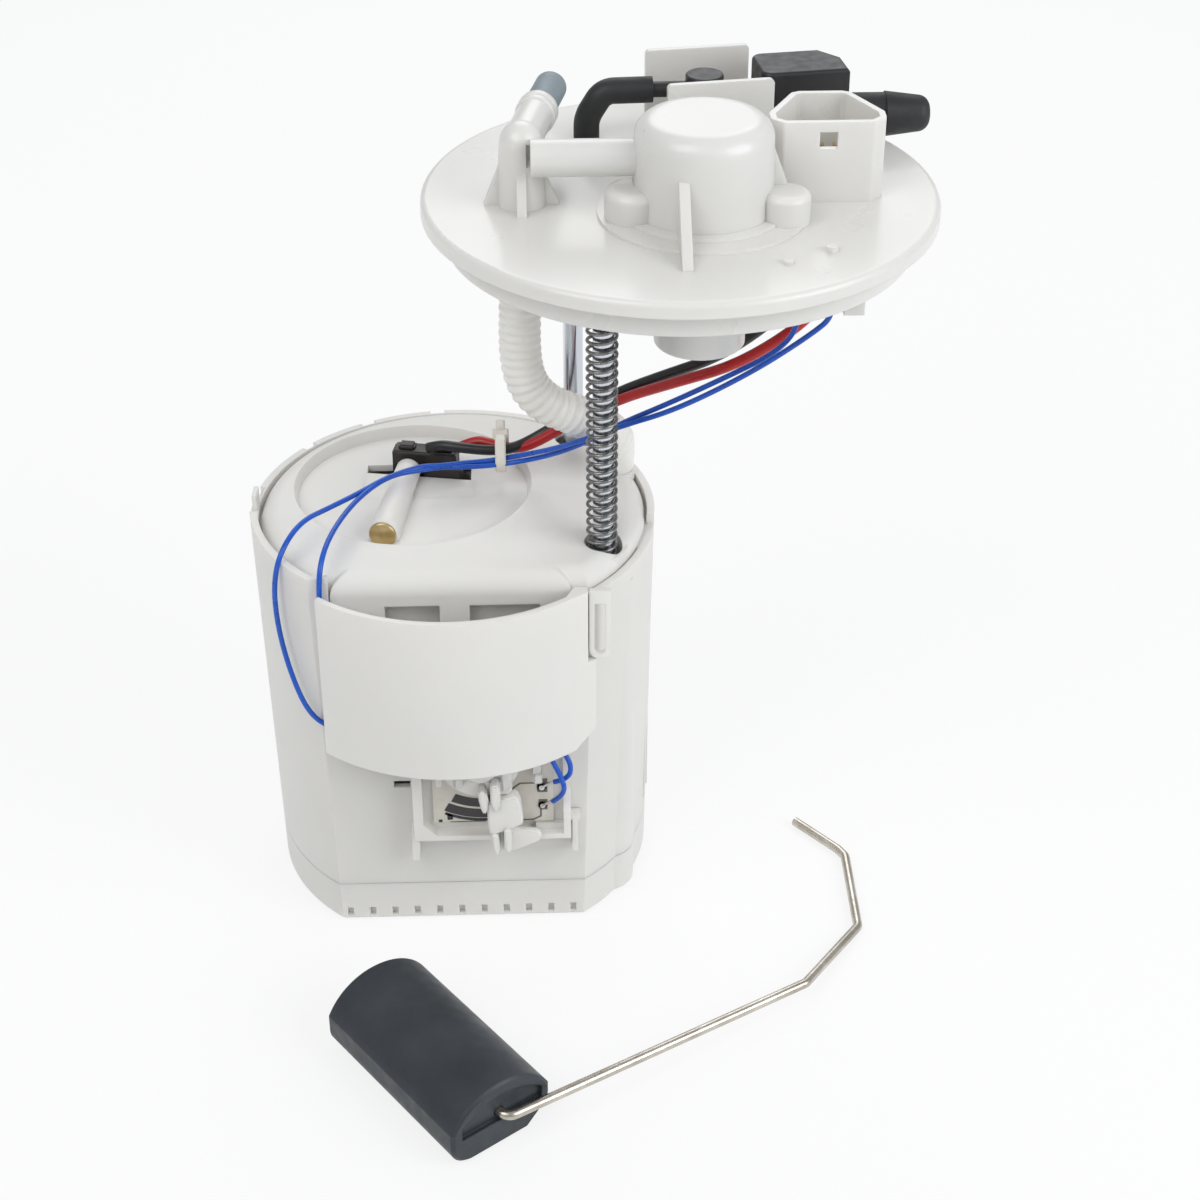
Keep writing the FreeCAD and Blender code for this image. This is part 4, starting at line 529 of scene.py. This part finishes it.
def coil(name, node, axis, radius, wire, turns, height):
    """Round wire wound about an upright axis; height gives z at a number of turns from the foot."""
    line = []
    for i in range(turns * COIL_STEPS + 1):
        angle = 2 * math.pi * i / COIL_STEPS
        x, y = axis[0] + radius * math.cos(angle), axis[1] + radius * math.sin(angle)
        line.append(Vector((x, y, height(i / COIL_STEPS))))
    spring = tube(name, line, wire, "spring_steel", 10)
    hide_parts(node)
    return spring


def add_spring():
    """Spring on the guide rod, with its end turns nearly closed."""
    low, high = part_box("rod_spring")
    bottom, top = low.z + SPRING_WIRE, high.z - SPRING_WIRE
    closed = 2 * SPRING_WIRE + CLOSED_GAP

    def height(turn):
        if turn < CLOSED_TURNS:
            return bottom + turn * closed
        if turn > SPRING_TURNS - CLOSED_TURNS:
            return top - (SPRING_TURNS - turn) * closed
        share = (turn - CLOSED_TURNS) / (SPRING_TURNS - 2 * CLOSED_TURNS)
        return bottom + CLOSED_TURNS * closed + share * (top - bottom - 2 * CLOSED_TURNS * closed)

    spring = coil("return_spring", "rod_spring", SPRING_AXIS, SPRING_R, SPRING_WIRE, SPRING_TURNS,
                  height)
    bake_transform(spring)


def add_inner_spring(name, node, wire, turns):
    """Coil in place of a solid spring."""
    low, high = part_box(node)
    x, y = (low.x + high.x) / 2, (low.y + high.y) / 2
    radius = (high.x - low.x) / 2 - wire

    def height(turn):
        return low.z + wire + turn / turns * (high.z - low.z - 2 * wire)

    spring = coil(name, node, (x, y), radius, wire, turns, height)
    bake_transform(spring)


def prism_mesh(rows):
    """Closed prisms from rows in millimetres: (outline, near, far, plane of the outline)."""
    points, faces = [], []
    for outline, near, far, plane in rows:
        base = len(points)
        count = len(outline)
        for depth in (near, far):
            for a, b in outline:
                point = {"xz": (a, depth, b), "xy": (a, b, depth), "yz": (depth, a, b)}[plane]
                points.append(Vector(point) * MM)
        faces.append(tuple(range(base, base + count)))
        faces.append(tuple(range(base + 2 * count - 1, base + count - 1, -1)))
        for k in range(count):
            n = (k + 1) % count
            faces.append((base + k, base + count + k, base + count + n, base + n))
    return points, faces


def prism_piece(name, rows, finish, body, bevel, sides=3):
    """Closed prisms joined to one piece, with edges rounded by bevel millimetres."""
    points, faces = prism_mesh(rows)
    piece = mesh_object(name, points, faces, FINISH[finish], False)
    mesh = piece.data
    work = bmesh.new()
    work.from_mesh(mesh)
    bmesh.ops.recalc_face_normals(work, faces=work.faces)
    if bevel:
        sharp = [edge for edge in work.edges if edge.calc_face_angle(0) > 0.5]
        bmesh.ops.bevel(work, geom=sharp, offset=bevel * MM, segments=sides, affect="EDGES",
                        clamp_overlap=True)
    work.to_mesh(mesh)
    work.free()
    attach(piece, body)
    return piece


def circle_points(x, z, radius, count=32, start=0.0, end=360.0):
    """Points of a whole circle, or of an arc with both its ends."""
    steps = count if end - start >= 360 else count + 1
    angles = [math.radians(start + (end - start) * k / count) for k in range(steps)]
    return [(x + radius * math.cos(a), z + radius * math.sin(a)) for a in angles]


def arc_outline(inner, outer, start, end, count=28):
    """Band about the centre of the resistor tracks, between two radii and two angles."""
    rim = circle_points(*TRACK_CENTRE, outer, count, start, end)
    return rim + circle_points(*TRACK_CENTRE, inner, count, start, end)[::-1]


def add_hub():
    """Turning hub of the level sender with the hooks that hold the float arm."""
    disc = circle_points(*HUB_CENTRE, 10.6, 48)
    boss = circle_points(*HUB_CENTRE, 4.6, 32)
    neck = [(7.4, 50.0), (14.4, 50.0), (14.6, 55.0), (7.0, 55.0)]
    body = [
        (7.7, 49.0), (11.8, 49.6), (14.3, 50.7), (15.7, 51.0), (16.6, 48.3), (17.3, 41.7),
        (13.8, 39.8), (8.3, 37.7), (7.8, 42.0),
    ]
    left_hook = [
        (5.6, 53.2), (7.7, 52.9), (8.2, 50.3), (7.7, 46.8), (7.0, 45.6), (6.3, 47.1), (5.6, 50.4),
    ]
    right_hook = [
        (8.7, 55.2), (11.0, 55.4), (11.4, 50.7), (11.2, 47.4), (9.9, 46.1), (9.0, 48.0), (8.7, 50.8),
    ]
    left_foot = [(8.6, 38.9), (10.5, 38.9), (11.0, 33.1), (10.1, 31.1), (9.0, 33.6)]
    right_foot = [(12.0, 40.5), (14.1, 40.5), (14.1, 33.5), (13.1, 31.6), (12.0, 34.0)]
    web = [(10.2, 38.0), (12.4, 38.0), (12.2, 30.6), (10.4, 30.6)]
    wing = [(13.3, 38.5), (21.3, 37.4), (22.3, 36.0), (21.8, 34.0), (14.4, 30.3), (13.2, 31.4)]
    stop = [(-0.9, 58.0), (1.9, 58.0), (1.9, 53.0), (-0.2, 51.5), (-0.9, 52.4)]
    shoulder = [(11.4, 60.0), (14.5, 60.0), (14.3, 52.6), (11.8, 50.9)]
    rows = [
        (disc, -48.3, -46.5, "xz"),
        (boss, -50.6, -48.2, "xz"),
        (neck, -49.2, -46.5, "xz"),
        (body, -51.3, -47.4, "xz"),
        (left_hook, -52.3, -46.6, "xz"),
        (right_hook, -52.3, -47.6, "xz"),
        (left_foot, -52.2, -46.6, "xz"),
        (right_foot, -52.2, -46.6, "xz"),
        (web, -48.8, -46.8, "xz"),
        (wing, -49.0, -47.0, "xz"),
        (stop, -48.9, -46.6, "xz"),
        (shoulder, -49.7, -46.6, "xz"),
    ]
    hub = prism_piece("float_arm_hub", rows, "white_matte", "wiper", 0.45)
    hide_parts("wiper_hub")


def add_sender_details():
    """Prints, solder, wire tips and clips on the front of the ceramic card."""
    def printed(name, outlines, height, finish):
        rows = [(outline, CARD_FACE - height, CARD_FACE, "xz") for outline in outlines]
        return prism_piece(name, rows, finish, "pot", 0)

    bands = [arc_outline(16.3, 19.1, -116.5, -63.5), arc_outline(19.9, 22.7, -117.5, -62.5)]
    tracks = printed("printed_resistor_tracks", bands, 0.12, "track_lines")
    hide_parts("resistor_tracks")
    printed("printed_ground_line", [
        arc_outline(23.0, 23.9, -116.0, -74.0),
        [(-3.3, 39.6), (-1.9, 39.0), (-1.7, 37.4), (-3.2, 37.2)],
        [(-5.6, 37.35), (-4.6, 37.35), (-4.6, 36.5), (-5.6, 36.5)],
    ], 0.1, "track_ink")
    printed("printed_traces", [
        [(11.2, 45.2), (14.1, 46.7), (16.6, 48.9), (20.6, 48.95), (20.6, 49.4), (16.4, 49.35),
         (13.9, 47.2), (11.0, 45.7)],
        [(21.75, 41.0), (21.75, 38.05), (19.8, 37.0), (16.0, 36.95), (16.0, 36.55), (19.95, 36.55),
         (22.2, 37.8), (22.2, 41.0)],
        [(-2.5, 36.65), (7.0, 36.75), (7.0, 36.45), (-2.5, 36.4)],
    ], 0.08, "trace_brown")
    printed("printed_pads", [
        [(21.0, 50.6), (23.8, 50.6), (23.8, 46.1), (21.2, 46.1), (21.0, 47.0)],
        [(21.4, 43.6), (23.8, 43.6), (23.8, 40.2), (21.8, 40.2), (21.3, 41.2)],
    ], 0.15, "trace_brown")
    blobs = [(circle_points(x, z, radius, 14), -43.9, CARD_FACE, "xz") for x, z, radius in CONTACTS]
    joints = prism_piece("solder_joints", blobs, "brushed_tin", "pot", 0.5, 4)
    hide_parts("sender_terminals")
    for name, line in (
        ("upper_wire_tip",
         [(26.2, -45.5, 51.4), (24.8, -44.6, 50.6), (23.4, -43.8, 49.0), (22.2, -43.6, 48.0)]),
        ("lower_wire_tip",
         [(25.8, -45.6, 45.2), (24.6, -44.8, 44.2), (23.4, -44.0, 42.8), (22.3, -43.6, 41.9)]),
    ):
        tip = tube(name, smooth_line(metres(line)), 0.0004, "brushed_tin", 10)
        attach(tip, "pot")
    clips = [
        ([(-6.1, 56.0), (-3.6, 56.0), (-4.0, 50.5), (-6.1, 50.5)], -46.2, -43.1, "xz"),
        ([(20.2, 54.2), (22.5, 54.2), (22.5, 50.9), (20.2, 50.9)], -46.0, -43.1, "xz"),
    ]
    prism_piece("card_clips", clips, "white_matte", "pot", 0.3)


def turned_box(u0, u1, v0, v1):
    """Corners in plan of a box along the opening's front edge."""
    corners = [(u0, v0), (u1, v0), (u1, v1), (u0, v1)]
    return [(-24.5 + 0.985 * u + 0.171 * v, 20.4 - 0.171 * u + 0.985 * v) for u, v in corners]


def add_cable_tie():
    """Strap round the leads with its square head behind them and a short cut tail."""
    strap = circle_points(*TIE_CENTRE, TIE_OUTER_R, 40, 42, 398)
    strap += circle_points(*TIE_CENTRE, TIE_INNER_R, 40, 42, 398)[::-1]
    rows = [
        (strap, 11.4, 14.3, "yz"),
        ([(17.6, 119.3), (19.9, 117.6), (22.3, 120.6), (20.0, 122.6)], 10.6, 15.1, "yz"),
        ([(19.6, 122.0), (21.0, 121.0), (22.4, 123.9), (21.2, 124.5)], 11.6, 14.1, "yz"),
    ]
    tie = prism_piece("strap_and_head", rows, "white_warm", "pot", 0.25)
    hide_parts("cable_tie")


def add_rim_bead():
    """Rounded bead between the lid's edge and the wall of the pot."""
    angles = [math.radians(-20 + 220 * k / 120) for k in range(121)]
    line = [Vector((RIM_BEAD_AXIS_R * math.cos(a), RIM_BEAD_AXIS_R * math.sin(a), RIM_BEAD_Z))
            for a in angles]
    bead = tube("rim_bead", line, RIM_BEAD_R, "white_matte", 10)
    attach(bead, "pot")


def add_lid_details():
    """Sill and plug in the lid's opening, and the round duct with its brass end."""
    sill = [(-25.0, 6.4), (5.6, 6.4), (5.6, 15.2), (2.6, 15.7), (-24.5, 20.4)]
    rows = [(sill, 107.4, 109.004, "xy")]
    prism_piece("opening_sill", rows, "white_flat", "pot", 0)
    black = [
        (turned_box(7.1, 24.9, 2.2, 8.0), 103.4, 115.2, "xy"),
        (turned_box(16.0, 26.9, 0.25, 3.4), 103.4, 111.8, "xy"),
        (turned_box(8.6, 13.2, 3.6, 7.2), 114.8, 116.3, "xy"),
        (turned_box(16.5, 24.0, 3.2, 4.6), 114.8, 115.9, "xy"),
    ]
    body = prism_piece("pump_plug_housing", black, "black_brown", "pot", 0.6)
    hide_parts("pump_connector")
    start, end = Vector(DUCT_START), Vector(DUCT_END)
    line = [start.lerp(end, k / 12) * MM for k in range(13)]
    duct = tube("duct_cover", line, lambda s: 0.0034 + 0.0004 * s / 0.034, "white_matte", 32)
    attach(duct, "pot")
    heading = (end - start).normalized()
    disc = [end * MM, (end + heading * 0.6) * MM, (end + heading * 0.9) * MM]
    plug = tube("brass_end_plug", disc, lambda s: 0.0036 if s < 0.0007 else 0.0033, "brass", 32)
    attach(plug, "pot")
    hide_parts("duct_plug")


def shade_white(name, share):
    """Pale surface that the camera, metal and glass see as nearly white, with a soft shadow on it."""
    material, tree, shader = new_material(name)
    link = tree.links.new
    tree.nodes.remove(shader)
    lit = tree.nodes.new("ShaderNodeBsdfDiffuse")
    lit.inputs["Color"].default_value = (0.86, 0.86, 0.86, 1)
    glow = tree.nodes.new("ShaderNodeEmission")
    path = tree.nodes.new("ShaderNodeLightPath")
    seen = tree.nodes.new("ShaderNodeMath")
    seen.operation = "ADD"
    seen.use_clamp = True
    link(path.outputs["Is Camera Ray"], seen.inputs[0])
    link(path.outputs["Is Glossy Ray"], seen.inputs[1])
    through = tree.nodes.new("ShaderNodeMath")
    through.operation = "ADD"
    through.use_clamp = True
    link(seen.outputs[0], through.inputs[0])
    link(path.outputs["Is Transmission Ray"], through.inputs[1])
    part = tree.nodes.new("ShaderNodeMath")
    part.operation = "MULTIPLY"
    part.inputs[1].default_value = share
    link(through.outputs[0], part.inputs[0])
    mix = tree.nodes.new("ShaderNodeMixShader")
    link(part.outputs[0], mix.inputs["Fac"])
    link(lit.outputs[0], mix.inputs[1])
    link(glow.outputs[0], mix.inputs[2])
    link(mix.outputs[0], tree.nodes["Material Output"].inputs["Surface"])
    return material


def add_stage():
    """Pale floor that keeps a soft shadow, and a white surrounding."""
    size = FLOOR_SIZE
    corners = [(-size, -size, 0), (size, -size, 0), (size, size, 0), (-size, size, 0)]
    floor = mesh_object("floor", corners, [(0, 1, 2, 3)], shade_white("floor_white", 0.8), False)
    floor.location.z = -FLOOR_DROP
    world = bpy.data.worlds.new("world")
    bpy.context.scene.world = world
    world.use_nodes = True
    tree = world.node_tree
    link = tree.links.new
    light = tree.nodes["Background"]
    light.inputs["Color"].default_value = (0.93, 0.96, 1.0, 1)
    light.inputs["Strength"].default_value = SKY_STRENGTH
    seen = add_node(tree, "ShaderNodeBackground", Color=(1, 1, 1, 1), Strength=1.0)
    path = tree.nodes.new("ShaderNodeLightPath")
    mix = tree.nodes.new("ShaderNodeMixShader")
    link(path.outputs["Is Camera Ray"], mix.inputs["Fac"])
    link(light.outputs[0], mix.inputs[1])
    link(seen.outputs[0], mix.inputs[2])
    link(mix.outputs[0], tree.nodes["World Output"].inputs["Surface"])


def add_lights():
    for name, place, size, power, colour in LAMPS:
        data = bpy.data.lights.new(name, "AREA")
        data.shape = "DISK"
        data.size = size
        data.energy = power
        data.color = colour
        light = bpy.data.objects.new(name, data)
        light.location = place
        heading = Vector(LAMP_TARGET) - Vector(place)
        light.rotation_euler = heading.to_track_quat("-Z", "Y").to_euler()
        bpy.context.scene.collection.objects.link(light)


add_camera()
add_cords()
dress_nodes()
add_spring()
add_inner_spring("check_valve_coil", "outlet_check_spring", 0.0002, 4)
add_inner_spring("regulator_coil", "regulator_spring", 0.0006, 9)
add_hub()
add_sender_details()
add_lid_details()
add_cable_tie()
add_rim_bead()
add_stage()
add_lights()
bpy.context.scene.view_settings.view_transform = "Standard"
